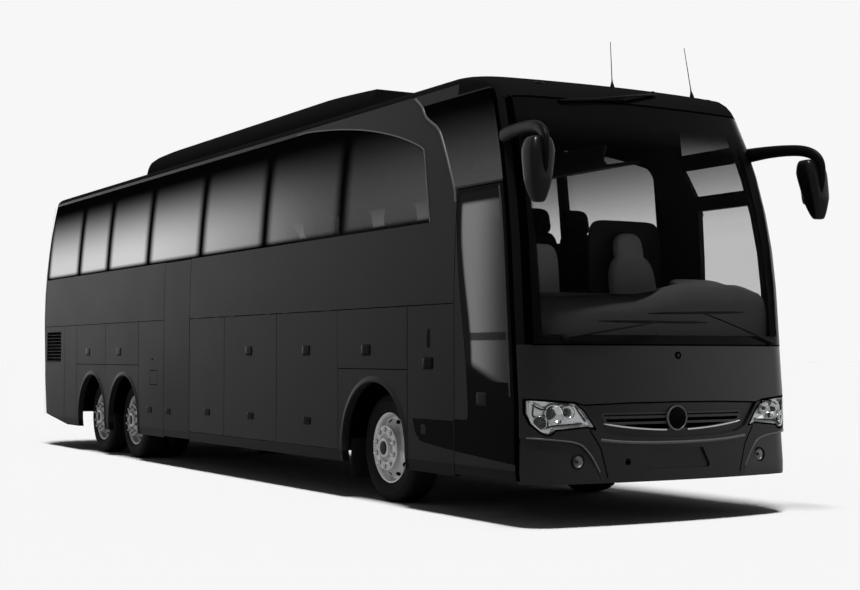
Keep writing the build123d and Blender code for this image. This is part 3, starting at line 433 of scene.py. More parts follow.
PAINT = Paint("charcoal_paint", (0.021, 0.021, 0.0212), 0.38, specular=0.06, skirt=0.25)
# Roof, front cap and roof unit take a darker copy of the body paint: painted shade on the top of the coach.
SHADED_ROOF_PAINT = Paint("roof_paint", (0.011, 0.011, 0.0112), 0.5, specular=0.0)
# Front panel and bumper take a darker copy of the body paint: painted shade on the front face.
SHADED_FRONT_PAINT = Paint("front_paint", (0.010, 0.010, 0.0102), 0.34, specular=0.30)
# Grille bars take a lighter copy of the body paint: a painted highlight on the bars.
GRILLE_HIGHLIGHT_PAINT = Paint("grille_paint", (0.035, 0.035, 0.0355), 0.34, specular=0.35)
GLOSS_BLACK = Finish("gloss_black", (0.0025, 0.0025, 0.0025), 0.2, specular=0.02)
SATIN_BLACK = Finish("satin_black", (0.006, 0.006, 0.006), 0.45, specular=0.08)
# Near black for real joints; also painted shade on the sheets in the hand holes and behind the grille.
SEAM_AND_SHADE_BLACK = Finish("seam_black", (0.001, 0.001, 0.001), 0.8, specular=0.0)
MIRROR_SHELL = Finish("mirror_shell", (0.006, 0.006, 0.006), 0.28, specular=0.18)
MIRROR_ARM = Finish("mirror_arm", (0.005, 0.005, 0.005), 0.42, specular=0.06)
# Side glass glows in its pale lower part: painted light, not a lamp.
SIDE_GLASS = SideGlass("side_glass", (0.003, 0.003, 0.0034), 0.1, specular=0.0, alpha=0.20, glow=0.6)
SCREEN_GLASS = ScreenGlass("screen_glass", (0.006, 0.006, 0.006), 0.03, specular=0.03, alpha=0.10)
# Door glass glows toward its rear edge: painted light, not a lamp.
DOOR_GLASS = DoorGlass("door_glass", (0.004, 0.004, 0.004), 0.05, specular=0.03, alpha=0.80, glow=0.24)
REAR_GLASS = Finish("rear_glass", (0.006, 0.006, 0.0065), 0.06, specular=0.3, alpha=0.92)
CLEAR = Finish("clear_lens", (0.85, 0.87, 0.9), 0.03, specular=0.25, alpha=0.05)
CHROME = Finish("chrome", (0.8, 0.81, 0.82), 0.12, 1.0)
BRIGHT_ALLOY = BrushedMetal("bright_alloy", (0.92, 0.92, 0.93), 0.36, 0.6)
DULL_ALLOY = BrushedMetal("dull_alloy", (0.5, 0.5, 0.51), 0.42, 0.75)
DARK_METAL = Finish("dark_metal", (0.02, 0.02, 0.021), 0.5, 0.5)
TYRE_RUBBER = Rubber("tyre_rubber", (0.014, 0.014, 0.014), 0.75, specular=0.1)
TAIL_LENS = TailLens("tail_lens", (0.3, 0.007, 0.007), 0.14, coat=0.4)
PALE_LENS = Finish("pale_lens", (0.6, 0.6, 0.61), 0.2, specular=0.4)
SEAT_CLOTH = Cloth("seat_cloth", (0.014, 0.0145, 0.016), 0.85, specular=0.1, fleck=(0.03, 0.03, 0.034))
PALE_CLOTH = Cloth("pale_cloth", (0.66, 0.66, 0.665), 0.85, specular=0.1, fleck=(0.74, 0.74, 0.745))
TRIM_GREY = Finish("trim_grey", (0.062, 0.062, 0.064), 0.6, specular=0.1, grain=0.003)
FLOOR_GREY = Finish("floor_grey", (0.05, 0.05, 0.052), 0.75, specular=0.1, grain=0.004)
MIRROR_GLASS = Finish("mirror_glass", (0.8, 0.81, 0.82), 0.03, 1.0)
LAMP_SHELL = Finish("lamp_shell", (0.92, 0.93, 0.94), 0.3, 0.9)
# Light grey: painted highlight on the body-colour beads and creases, and the own tone of the boss ring.
HIGHLIGHT_AND_RING_GREY = Finish("crease_paint", (0.10, 0.10, 0.102), 0.3, specular=0.4)


@dataclass
class Patch:
    """Part of a mesh: points and four-sided faces."""

    points: Array
    quads: Array

    @classmethod
    def grid(cls, surface: Array, wrap_u: bool = False, wrap_v: bool = False) -> "Patch":
        """Joins neighbouring points of a (u, v, 3) grid.

        Args:
            surface: grid of points.
            wrap_u: whether the last row joins the first.
            wrap_v: whether the last column joins the first.

        Returns:
            The patch.
        """
        rows, columns = surface.shape[:2]
        index = np.arange(rows * columns).reshape(rows, columns)
        index = np.concatenate([index, index[:1]], 0) if wrap_u else index
        index = np.concatenate([index, index[:, :1]], 1) if wrap_v else index
        quads = np.stack([index[:-1, :-1], index[1:, :-1], index[1:, 1:], index[:-1, 1:]], -1)
        return cls(surface.reshape(-1, 3).astype(float), quads.reshape(-1, 4))

    @classmethod
    def join(cls, patches: Iterable["Patch"]) -> "Patch":
        """One patch of several, each keeping its own points."""
        parts = list(patches)
        starts = np.cumsum([0] + [len(p.points) for p in parts[:-1]])
        return cls(np.concatenate([p.points for p in parts]),
                   np.concatenate([p.quads + s for p, s in zip(parts, starts)]))

    def faced(self, way: Sequence[float]) -> "Patch":
        """The patch with its faces turned toward a direction."""
        a, b, c, d = (self.points[self.quads[:, k]] for k in range(4))
        normal = np.cross(c - a, d - b).sum(0)
        return self if normal @ np.asarray(way, float) >= 0 else Patch(self.points, self.quads[:, ::-1])

    def moved(self, offset: Sequence[float]) -> "Patch":
        """The patch shifted."""
        return Patch(self.points + np.asarray(offset), self.quads)

    def leaned(self, angle: float) -> "Patch":
        """The patch turned about Y, its top going back by an angle in degrees."""
        c, s = math.cos(math.radians(angle)), math.sin(math.radians(angle))
        return Patch(self.points @ np.array([(c, 0, -s), (0, 1, 0), (s, 0, c)]).T, self.quads)

    def swung(self, angle: float) -> "Patch":
        """The patch turned about Z by an angle in radians, from X towards Y."""
        c, s = math.cos(angle), math.sin(angle)
        return Patch(self.points @ np.array([(c, -s, 0), (s, c, 0), (0, 0, 1)]).T, self.quads)

    def to_front(self) -> "Patch":
        """A patch turned about Y, set to face forward along X."""
        return Patch(self.points[:, [1, 0, 2]], self.quads[:, ::-1])

    def to_top(self) -> "Patch":
        """A patch turned about Y, set to face up along Z."""
        return Patch(self.points[:, [0, 2, 1]], self.quads[:, ::-1])

    def mirrored(self) -> "Patch":
        """The patch on the other side of the middle plane."""
        return Patch(self.points * (1.0, -1.0, 1.0), self.quads[:, ::-1])


class Shape:
    """Grid surfaces used all over the coach."""

    CHANNEL_WIDTH = 0.09
    SIDE_PULL = 0.05
    THIN_SHARE = 2.5

    @staticmethod
    def signed_power(values: Array, power: float) -> Array:
        """Power of each value's size, with its sign kept."""
        return np.sign(values) * np.abs(values) ** power

    @staticmethod
    def turned(profile: Sequence[Sequence[float]], segments: int) -> Patch:
        """Profile turned about Y: P(t, s) = (r(s) cos t, w(s), r(s) sin t).

        Args:
            profile: rows of radius and width.
            segments: steps round the axis.

        Returns:
            The patch round the origin.
        """
        radius, width = np.asarray(profile, float).T
        t = np.linspace(0, FULL_TURN, segments, endpoint=False)[:, None]
        across = np.broadcast_to(width, (segments, len(width)))
        return Patch.grid(np.stack([radius * np.cos(t), across, radius * np.sin(t)], -1), wrap_u=True)

    @staticmethod
    def swept(path: Array, section: Array, up: Sequence[float] = (0, 0, 1), scale: Optional[Array] = None,
              caps: bool = True) -> Patch:
        """Closed section carried along a path: P(i, j) = path(i) + scale(i) (a(j) side(i) + b(j) top(i)).

        Args:
            path: points along the way.
            section: rows of sideways and upward distance.
            up: direction that the section's second axis keeps to.
            scale: optional size factor at each path point.
            caps: whether both ends close to a point.

        Returns:
            The patch.
        """
        path = np.asarray(path, float)
        along = np.gradient(path, axis=0)
        along /= np.linalg.norm(along, axis=1, keepdims=True)
        across = np.cross(along, np.asarray(up, float))
        across /= np.linalg.norm(across, axis=1, keepdims=True)
        top = np.cross(across, along)
        size = np.ones(len(path)) if scale is None else np.asarray(scale, float)
        a, b = np.asarray(section, float).T
        offset = a[None, :, None] * across[:, None] + b[None, :, None] * top[:, None]
        surface = path[:, None] + size[:, None, None] * offset
        if caps:
            ends = [np.repeat(path[k:k + 1, None], len(a), 1) for k in (0, len(path) - 1)]
            surface = np.concatenate([ends[0], surface, ends[1]])
        return Patch.grid(surface, wrap_v=True)

    @staticmethod
    def ring(width: float, height: float, count: int = 16, power: float = 1.0) -> Array:
        """Closed section: superellipse (w |cos|^p, h |sin|^p)."""
        t = np.linspace(0, FULL_TURN, count, endpoint=False)
        across = width * Shape.signed_power(np.cos(t), power)
        up = height * Shape.signed_power(np.sin(t), power)
        return np.stack([across, up], -1)

    @staticmethod
    def cushion(half: Sequence[float], power: float = 0.4, count: int = 14,
                channels: Sequence[float] = (), depth: float = 0.012) -> Patch:
        """Stuffed pad: superellipsoid h (C(v) C(u), C(v) S(u), S(v)) with sewn channels.

        C and S are signed powers of cosine and sine. Every channel is a valley, at a share of the half
        width, that draws points toward the middle by depth * exp(-(distance / CHANNEL_WIDTH)^2), along the
        pad's thin axes only. The sides pull in between the corners by SIDE_PULL (1 - z^2).

        Args:
            half: half length, width and height.
            power: squareness, smaller is squarer.
            count: steps from pole to pole.
            channels: places of sewn lines across the width.
            depth: depth of the channels.

        Returns:
            The pad round the origin.
        """
        u = np.linspace(-math.pi, math.pi, 2 * count, endpoint=False)[:, None]
        v = np.linspace(-math.pi / 2, math.pi / 2, count)[None]
        girth = Shape.signed_power(np.cos(v), power)
        x = girth * Shape.signed_power(np.cos(u), power)
        y = girth * Shape.signed_power(np.sin(u), power)
        z = np.broadcast_to(Shape.signed_power(np.sin(v), power), x.shape)
        surface = np.stack([x, y, z], -1)
        surface[..., 1] *= 1.0 - Shape.SIDE_PULL * (1.0 - z ** 2)
        valley = np.zeros_like(x)
        for place in channels:
            valley = valley + np.exp(-((y - place) / Shape.CHANNEL_WIDTH) ** 2)
        half = np.asarray(half, float)
        thin = half < Shape.THIN_SHARE * half.min()
        shrink = 1.0 - np.clip(valley, 0, 1)[..., None] * depth / half * thin
        return Patch.grid(surface * half * shrink, wrap_u=True)

    @staticmethod
    def pad(half: Sequence[float], power: float, count: int, at: Sequence[float], lean: float = 0.0,
            channels: Sequence[float] = (), depth: float = 0.012) -> Patch:
        """A cushion leaned back by an angle in degrees and set at a place."""
        return Shape.cushion(half, power, count, channels, depth).leaned(lean).moved(at)

    @staticmethod
    def plate(half: Sequence[float], depth: float, power: float = 0.3, count: int = 28) -> Patch:
        """Rounded plate facing +Z with a soft rim: rings of a superellipse shrink from base to middle."""
        ring = Shape.ring(1.0, 1.0, count, power)
        steps = np.array([
            (0.0, -depth), (1.0, -depth), (1.0, -0.25 * depth), (0.96, 0.0), (0.5, 0.0), (0.0, 0.0)])
        size = steps[:, :1] * np.asarray(half)
        level = np.broadcast_to(steps[:, None, 1:], (len(steps), count, 1))
        return Patch.grid(np.concatenate([ring[None] * size[:, None], level], -1), wrap_v=True)

    @staticmethod
    def smooth_line(points: Sequence[Sequence[float]], count: int) -> Array:
        """Catmull-Rom curve through points, sampled evenly in its parameter."""
        knots = np.asarray(points, float)
        padded = np.concatenate([2 * knots[:1] - knots[1:2], knots, 2 * knots[-1:] - knots[-2:-1]])
        t = np.linspace(0, len(knots) - 1 - 1e-9, count)
        i = t.astype(int)
        f = (t - i)[:, None]
        a, b, c, d = (padded[i + k] for k in range(4))
        cubic = (3 * b - a - 3 * c + d) * f ** 3
        return 0.5 * (2 * b + (c - a) * f + (2 * a - 5 * b + 4 * c - d) * f ** 2 + cubic)

    @staticmethod
    def ease(values: Array, low: float, high: float) -> Array:
        """Smooth rise from 0 at low to 1 at high, t t (3 - 2 t)."""
        t = np.clip((np.asarray(values, float) - low) / (high - low), 0.0, 1.0)
        return t * t * (3.0 - 2.0 * t)

    @staticmethod
    def line(*points: Sequence[float], step: float = 0.06) -> Array:
        """Straight runs through points, filled in at a step."""
        knots = np.asarray(points, float)
        runs = np.linalg.norm(np.diff(knots, axis=0), axis=1)
        place = np.concatenate([[0], np.cumsum(runs)])
        count = max(int(place[-1] / step), 2) + 1
        t = np.union1d(np.linspace(0, place[-1], count), place)
        return np.stack([np.interp(t, place, knots[:, k]) for k in range(knots.shape[1])], -1)


class Maker:
    """Turns patches into Blender objects that ride on CAD bodies."""

    @staticmethod
    def piece(name: str, patches: Union[Patch, Iterable[Patch]], finish: Finish, body: str = ROOT,
              replaces: Sequence[str] = (), slot: Optional[str] = None, sharp: float = 38.0,
              closed: bool = True) -> bpy.types.Object:
        """Makes one object, with its doubles merged and, on a closed shape, its normals turned outwards.

        Args:
            name: object name.
            patches: one patch or several.
            finish: its surface.
            body: CAD body it rides on.
            replaces: CAD nodes it stands for.
            slot: material slot of the record; not used.
            sharp: edges steeper than this many degrees stay sharp.
            closed: whether the shape encloses a space; an open sheet keeps the way it faces.

        Returns:
            The object.
        """
        whole = patches if isinstance(patches, Patch) else Patch.join(patches)
        mesh = bpy.data.meshes.new(name)
        faces = len(whole.quads)
        mesh.vertices.add(len(whole.points))
        mesh.vertices.foreach_set("co", whole.points.astype(np.float32).ravel())
        mesh.loops.add(faces * 4)
        mesh.loops.foreach_set("vertex_index", whole.quads.astype(np.int32).ravel())
        mesh.polygons.add(faces)
        mesh.polygons.foreach_set("loop_start", np.arange(0, faces * 4, 4, dtype=np.int32))
        mesh.update(calc_edges=True)
        Maker.close(mesh, closed)
        mesh.polygons.foreach_set("use_smooth", np.ones(len(mesh.polygons), bool))
        mesh.set_sharp_from_angle(angle=math.radians(sharp))
        mesh.materials.append(finish.material)
        made = bpy.data.objects.new(name, mesh)
        bpy.context.scene.collection.objects.link(made)
        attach(made, body)
        if replaces:
            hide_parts(*replaces)
        log.info("piece %s on %s: %d faces, %s", name, body, len(mesh.polygons), finish.name)
        return made

    @staticmethod
    def close(mesh: bpy.types.Mesh, closed: bool) -> None:
        """Merges doubled points, so that seams and poles close, and turns closed shapes outwards.

        Args:
            mesh: the mesh, changed in place.
            closed: whether normals are worked out again.
        """
        work = bmesh.new()
        work.from_mesh(mesh)
        bmesh.ops.remove_doubles(work, verts=work.verts, dist=1e-6)
        if closed:
            bmesh.ops.recalc_face_normals(work, faces=work.faces)
        work.to_mesh(mesh)
        work.free()
        mesh.validate()

    @staticmethod
    def dress(nodes: Iterable[str], finish: Finish, sharp: float = 28.0) -> None:
        """Gives CAD nodes a finish and smooth shading, by modifiers only.

        Args:
            nodes: CAD node names.
            finish: their surface.
            sharp: edges steeper than this many degrees stay sharp.
        """
        for name in nodes:
            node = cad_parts[name]
            node.data.materials.clear()
            node.data.materials.append(finish.material)
            node.data.polygons.foreach_set("use_smooth", np.ones(len(node.data.polygons), bool))
            weld = node.modifiers.new("weld", "WELD")
            weld.merge_threshold = 2e-5
            split = node.modifiers.new("split", "EDGE_SPLIT")
            split.split_angle = math.radians(sharp)
            log.info("node %s dressed in %s", name, finish.name)


@dataclass(frozen=True)
class BodyForm:
    """Outer form of the body: half width and set-back of the front by height, as in the CAD sections."""

    front: float = 6.170
    half_width: float = 1.275
    skirt: float = 0.320
    sill: float = 0.416
    tuck: float = 0.012
    belt: float = 1.659
    side_r: float = 11.5
    nose_z: float = 0.880
    rake_z: float = 1.800
    rake: float = math.radians(4.3)
    screen_r: float = 4.0
    brow_r: float = 0.300
    brow_end: float = math.sin(math.radians(76.0))
    dome_r: float = 6.0
    roof_z: float = 3.550
    plan_r: float = 6.5
    corner_r: float = 0.240

    @cached_property
    def levels(self) -> Array:
        """Heights of the CAD sections."""
        return np.array([0.32, 0.416, 0.88, 1.659, 1.8, 2.1, 2.4, 2.7, 2.95, 3.205, 3.26, 3.312, 3.355, 3.4])

    @cached_property
    def halves(self) -> Array:
        """Half width at each section: straight, an arc above the belt and a small tuck at the skirt."""
        rise = np.maximum(self.levels - self.belt, 0.0)
        low = np.maximum(self.sill - self.levels, 0.0) / (self.sill - self.skirt)
        arc = self.side_r - np.sqrt(self.side_r ** 2 - rise ** 2)
        return self.half_width - self.tuck * low ** 2 - arc

    @cached_property
    def setbacks(self) -> Array:
        """Set-back at each section: lean line, then screen, brow and dome arcs."""
        lean = math.sin(self.rake)
        edge = (self.roof_z - self.rake_z + self.screen_r * lean - self.brow_r * self.brow_end
                - self.dome_r * (1 - self.brow_end)) / (self.screen_r - self.brow_r)
        back = np.clip(self.levels - self.nose_z, 0.0, self.rake_z - self.nose_z) * math.tan(self.rake)
        base, start = self.rake_z, lean
        for radius, end in ((self.screen_r, edge), (self.brow_r, self.brow_end), (self.dome_r, 1.0)):
            sine = np.clip(start + (self.levels - base) / radius, start, end)
            back = back + radius * (math.sqrt(1 - start ** 2) - np.sqrt(1 - sine ** 2))
            base, start = base + radius * (end - start), end
        return back

    def half(self, z: Array) -> Array:
        """Half width at heights."""
        return np.interp(z, self.levels, self.halves)

    def setback(self, z: Array) -> Array:
        """Set-back of the front at heights."""
        return np.interp(z, self.levels, self.setbacks)

    def side(self, x: Array, z: Array, side: Side, lift: Any = 0.0) -> Array:
        """Points on a body side, (x, +-(W(z) + lift), z)."""
        x, z = np.broadcast_arrays(np.asarray(x, float), np.asarray(z, float))
        return np.stack([x, side.value * (self.half(z) + lift), z], -1)

    def nose(self, y: Array, z: Array, lift: Any = 0.0) -> Array:
        """Points on the front: plan arc of radius R, then the corner arc of radius r."""
        y, z = np.broadcast_arrays(np.asarray(y, float), np.asarray(z, float))
        half = self.half(z)
        base = self.front - self.setback(z) - self.plan_r
        inner = half - self.corner_r
        across = np.minimum(np.abs(y), half - 1e-4)
        corner_x = base + np.sqrt((self.plan_r - self.corner_r) ** 2 - inner ** 2)
        edge = self.plan_r * inner / (self.plan_r - self.corner_r)
        flat = base + np.sqrt(self.plan_r ** 2 - across ** 2)
        bend = corner_x + np.sqrt(np.maximum(self.corner_r ** 2 - (across - inner) ** 2, 0.0))
        return np.stack([np.where(across <= edge, flat, bend) + lift, np.sign(y) * across, z], -1)

    def corner(self, back: Array, z: Array, side: Side, lift: float = 0.0) -> Array:
        """Points on a front corner, by their distance behind the front outline in side view."""
        back, z = np.broadcast_arrays(np.asarray(back, float), np.asarray(z, float))
        half = self.half(z)
        inner = half - self.corner_r
        line = self.front - self.setback(z)
        corner_x = line - self.plan_r + np.sqrt((self.plan_r - self.corner_r) ** 2 - inner ** 2)
        ahead = np.clip((line - back - corner_x) / self.corner_r, 0.0, 1.0)
        out = np.sqrt(1 - ahead ** 2)
        y = inner + self.corner_r * out
        return np.stack([line - back + lift * ahead, side.value * (y + lift * out), z], -1)


FORM = BodyForm()


class Skin:
    """Narrow bands, plates and areas laid on the body skin."""

    @staticmethod
    def edges(path: Array, width: float) -> Array:
        """Three lines along a flat path: half a width to one side, the middle, half to the other."""
        path = np.asarray(path, float)
        along = np.gradient(path, axis=0)
        along /= np.maximum(np.linalg.norm(along, axis=1, keepdims=True), 1e-9)
        normal = np.stack([-along[:, 1], along[:, 0]], -1)
        return path[:, None] + normal[:, None] * (np.array([-0.5, 0.0, 0.5]) * width)[None, :, None]

    @staticmethod
    def on_side(path: Array, width: float, side: Side, lift: float = 0.0008) -> Patch:
        """Band along an (x, z) path on a body side."""
        flat = Skin.edges(path, width)
        return Patch.grid(FORM.side(flat[..., 0], flat[..., 1], side, lift)).faced(side.outward)

    @staticmethod
    def on_nose(path: Array, width: float, lift: float = 0.0008) -> Patch:
        """Band along a (y, z) path on the front."""
        flat = Skin.edges(path, width)
        return Patch.grid(FORM.nose(flat[..., 0], flat[..., 1], lift)).faced(AHEAD)

    @staticmethod
    def side_area(rows: Sequence[Sequence[float]], side: Side, lift: float = 0.0009,
                  across: int = 8) -> Patch:
        """Area of a body side between two lines.

        Args:
            rows: x and z on the first line, then x and z on the second, at each step along the area.
            side: the body side.
            lift: height off the skin.
            across: points from line to line.

        Returns:
            Sheet P(i, t) = skin((1 - t) first(i) + t second(i)).
        """
        rows = np.asarray(rows, float)
        t = np.linspace(0, 1, across)[None, :, None]
        flat = rows[:, None, :2] * (1 - t) + rows[:, None, 2:] * t
        return Patch.grid(FORM.side(flat[..., 0], flat[..., 1], side, lift)).faced(side.outward)

    @staticmethod
    def plate(x: float, z: float, half: Sequence[float], side: Side, lift: float = 0.003) -> Patch:
        """Rounded plate standing on a body side."""
        flat = Shape.plate(half, 0.006)
        p = flat.points
        points = FORM.side(x + p[:, 0], z + p[:, 1], side)
        points[:, 1] += side.value * (p[:, 2] + lift)
        return Patch(points, flat.quads)

    @staticmethod
    def bead(points: Array, radius: float, up: Sequence[float] = (0, 0, 1)) -> Patch:
        """Round bead along points in space."""
        return Shape.swept(points, Shape.ring(radius, radius, 10), up)


@dataclass
class Shell:
    """Painted body panels with their seams, handles, louvres and arch lips."""

    seam: float = 0.007
    handle: tuple[float, float] = (0.085, 0.050)
    latch: tuple[float, float] = (0.085, 0.036)
    arch_front: float = 0.565
    arch_rear: float = 0.545
    axle_z: float = 0.465
    roof_half: Knots = (
        (1.128, 3.430), (1.104, 3.451), (1.090, 3.456), (1.062, 3.4625), (1.020, 3.470), (0.979, 3.475),
        (0.900, 3.4815), (0.800, 3.487), (0.400, 3.4925))
    cap_x: float = 4.900
    crown: float = 3.494
    arch_foot: float = 0.33
    joints: tuple[Knots, ...] = (
        ((-6.19, 1.657), (-1.402, 1.657)), ((3.03, 1.657), (5.02, 1.657)),
        ((-5.265, 0.345), (-5.265, 1.655)), ((-4.715, 0.325), (-4.715, 1.655)),
        ((-4.715, 1.14), (-2.262, 1.14)), ((-3.505, 1.01), (-3.505, 1.655)),
        ((-2.262, 0.325), (-2.262, 1.655)), ((3.03, 1.137), (4.289, 1.137)),
        ((4.289, 0.325), (4.289, 1.655)), ((-6.195, 0.42), (-6.195, 3.36)),
        ((-1.85, 0.915), (-1.85, 1.08), (-1.6, 1.08), (-1.6, 0.915), (-1.85, 0.915)))
    left_joints: tuple[Knots, ...] = (
        ((-1.4, 0.325), (-1.4, 1.655)), ((-1.4, 1.657), (-0.585, 1.657)))
    lip: Knots = (
        (-0.004, -0.045), (-0.004, 0.004), (0.004, 0.011), (0.018, 0.011), (0.034, 0.004), (0.05, 0.0005))
    band_inner: Knots = (
        (1.9, 3.372), (2.185, 3.366), (2.8, 3.31), (3.4, 3.222), (3.95, 3.10), (4.38, 2.960), (4.455, 2.890),
        (4.49, 2.790), (4.56, 2.55), (4.625, 2.317))
    band_outer: Knots = (
        (4.20, 3.385), (4.33, 3.30), (4.43, 3.195), (4.62, 3.090), (4.715, 2.995), (4.855, 2.780),
        (4.975, 2.566), (5.012, 2.45))

    def build(self) -> None:
        """Dresses the CAD panels and adds what is drawn on them."""
        # The top panels get the darker copy of the paint, painted shade.
        Maker.dress(["roof", "front_cap", "roof_unit"], SHADED_ROOF_PAINT)
        paint = ["rear_wall", "engine_lid", "mid_door"]
        paint += [f"{panel}_{side.word}" for side in Side for panel in ("side_wall", "lower_panels")]
        paint += [f"luggage_flap_{side.word}_{n}" for side in Side for n in (1, 2, 3)]
        Maker.dress(paint, PAINT)
        Maker.dress(["wheel_houses"], SEAM_AND_SHADE_BLACK)
        Maker.dress(["side_louvres"], SATIN_BLACK)
        for side in Side:
            self.seams(side)
            self.handles(side)
            self.arches(side)
            self.band_beads(side)
        self.cap_seam()

    def seams(self, side: Side) -> None:
        """Dark joints between fixed panels, and the outline of the filler flap."""
        rows = self.joints + self.left_joints if side is Side.LEFT else self.joints
        bands = [Skin.on_side(Shape.line(*row), self.seam, side) for row in rows]
        Maker.piece(f"seams_{side.word}", bands, SEAM_AND_SHADE_BLACK, closed=False)

    def handles(self, side: Side) -> None:
        """Square flush handles and low latches, on the panel or flap that they open."""
        fixed = [(-4.225, 1.30, self.handle), (-2.975, 1.30, self.handle), (3.565, 1.30, self.handle),
                 (4.625, 1.19, self.handle), (4.63, 1.39, (0.022, 0.075)), (-1.86, 0.62, self.latch),
                 (-1.80, 1.21, (0.05, 0.012))]
        plates = [Skin.plate(x, z, half, side) for x, z, half in fixed]
        Maker.piece(f"handles_{side.word}", plates, GLOSS_BLACK)
        on_flaps = {
            1: [(-0.065, 0.65, self.latch)],
            2: [(1.045, 1.30, self.handle), (1.085, 0.65, self.latch)],
            3: [(2.375, 1.30, self.handle), (2.395, 0.65, self.latch)],
        }
        for number, row in on_flaps.items():
            plates = [Skin.plate(x, z, half, side) for x, z, half in row]
            flap = f"luggage_flap_{side.word}_{number}"
            Maker.piece(f"flap_handles_{side.word}_{number}", plates, GLOSS_BLACK, flap)
        if side is Side.RIGHT:
            Maker.piece("mid_door_latch", Skin.plate(-1.25, 0.62, self.latch, side), GLOSS_BLACK, "mid_door")

    def arches(self, side: Side) -> None:
        """Rolled lips round the wheel arches: a lip section carried along the arch outline."""
        lips = []
        rows = np.array(self.lip)
        for axle in Axle:
            radius = self.arch_front if axle is Axle.FRONT else self.arch_rear
            t = np.linspace(0, math.pi, 60)
            out = np.stack([np.cos(t), np.sin(t)], -1)
            flat = np.array([axle.x, self.axle_z]) + radius * out
            ends = [(axle.x + radius, self.arch_foot)], [(axle.x - radius, self.arch_foot)]
            flat = np.concatenate([ends[0], flat, ends[1]])
            out = np.concatenate([[(1.0, 0.0)], out, [(-1.0, 0.0)]])
            across = flat[:, None] + out[:, None] * rows[None, :, :1]
            lip = Patch.grid(FORM.side(across[..., 0], across[..., 1], side, rows[None, :, 1]))
            lips.append(lip.faced(side.outward))
        Maker.piece(f"arch_lips_{side.word}", lips, PAINT, closed=False)

    def band_beads(self, side: Side) -> None:
        """Raised edges of the arch that ends the window band: beads along its two curves, painted light grey
        as a painted highlight.
        """
        beads = []
        for knots, radius in ((self.band_inner, 0.006), (self.band_outer, 0.010)):
            line = Shape.smooth_line(knots, 90)
            beads.append(Skin.bead(FORM.side(line[:, 0], line[:, 1], side, -0.001), radius, side.outward))
        Maker.piece(f"band_beads_{side.word}", beads, HIGHLIGHT_AND_RING_GREY)

    def cap_seam(self) -> None:
        """Dark joint between the front cap and the roof, over the crown."""
        half = np.array([(FORM.half(3.32), 3.32), (FORM.half(3.4), 3.4), *self.roof_half])
        half = np.concatenate([half * (-1, 1), [(0.0, self.crown)], half[::-1]])
        t = np.array([-0.5, 0.5]) * self.seam
        surface = np.stack([np.broadcast_to(self.cap_x + t, (len(half), 2)),
                            np.repeat(half[:, :1], 2, 1), np.repeat(half[:, 1:] + 0.001, 2, 1)], -1)
        Maker.piece("cap_seam", Patch.grid(surface).faced((0, 0, 1)), SEAM_AND_SHADE_BLACK, closed=False)


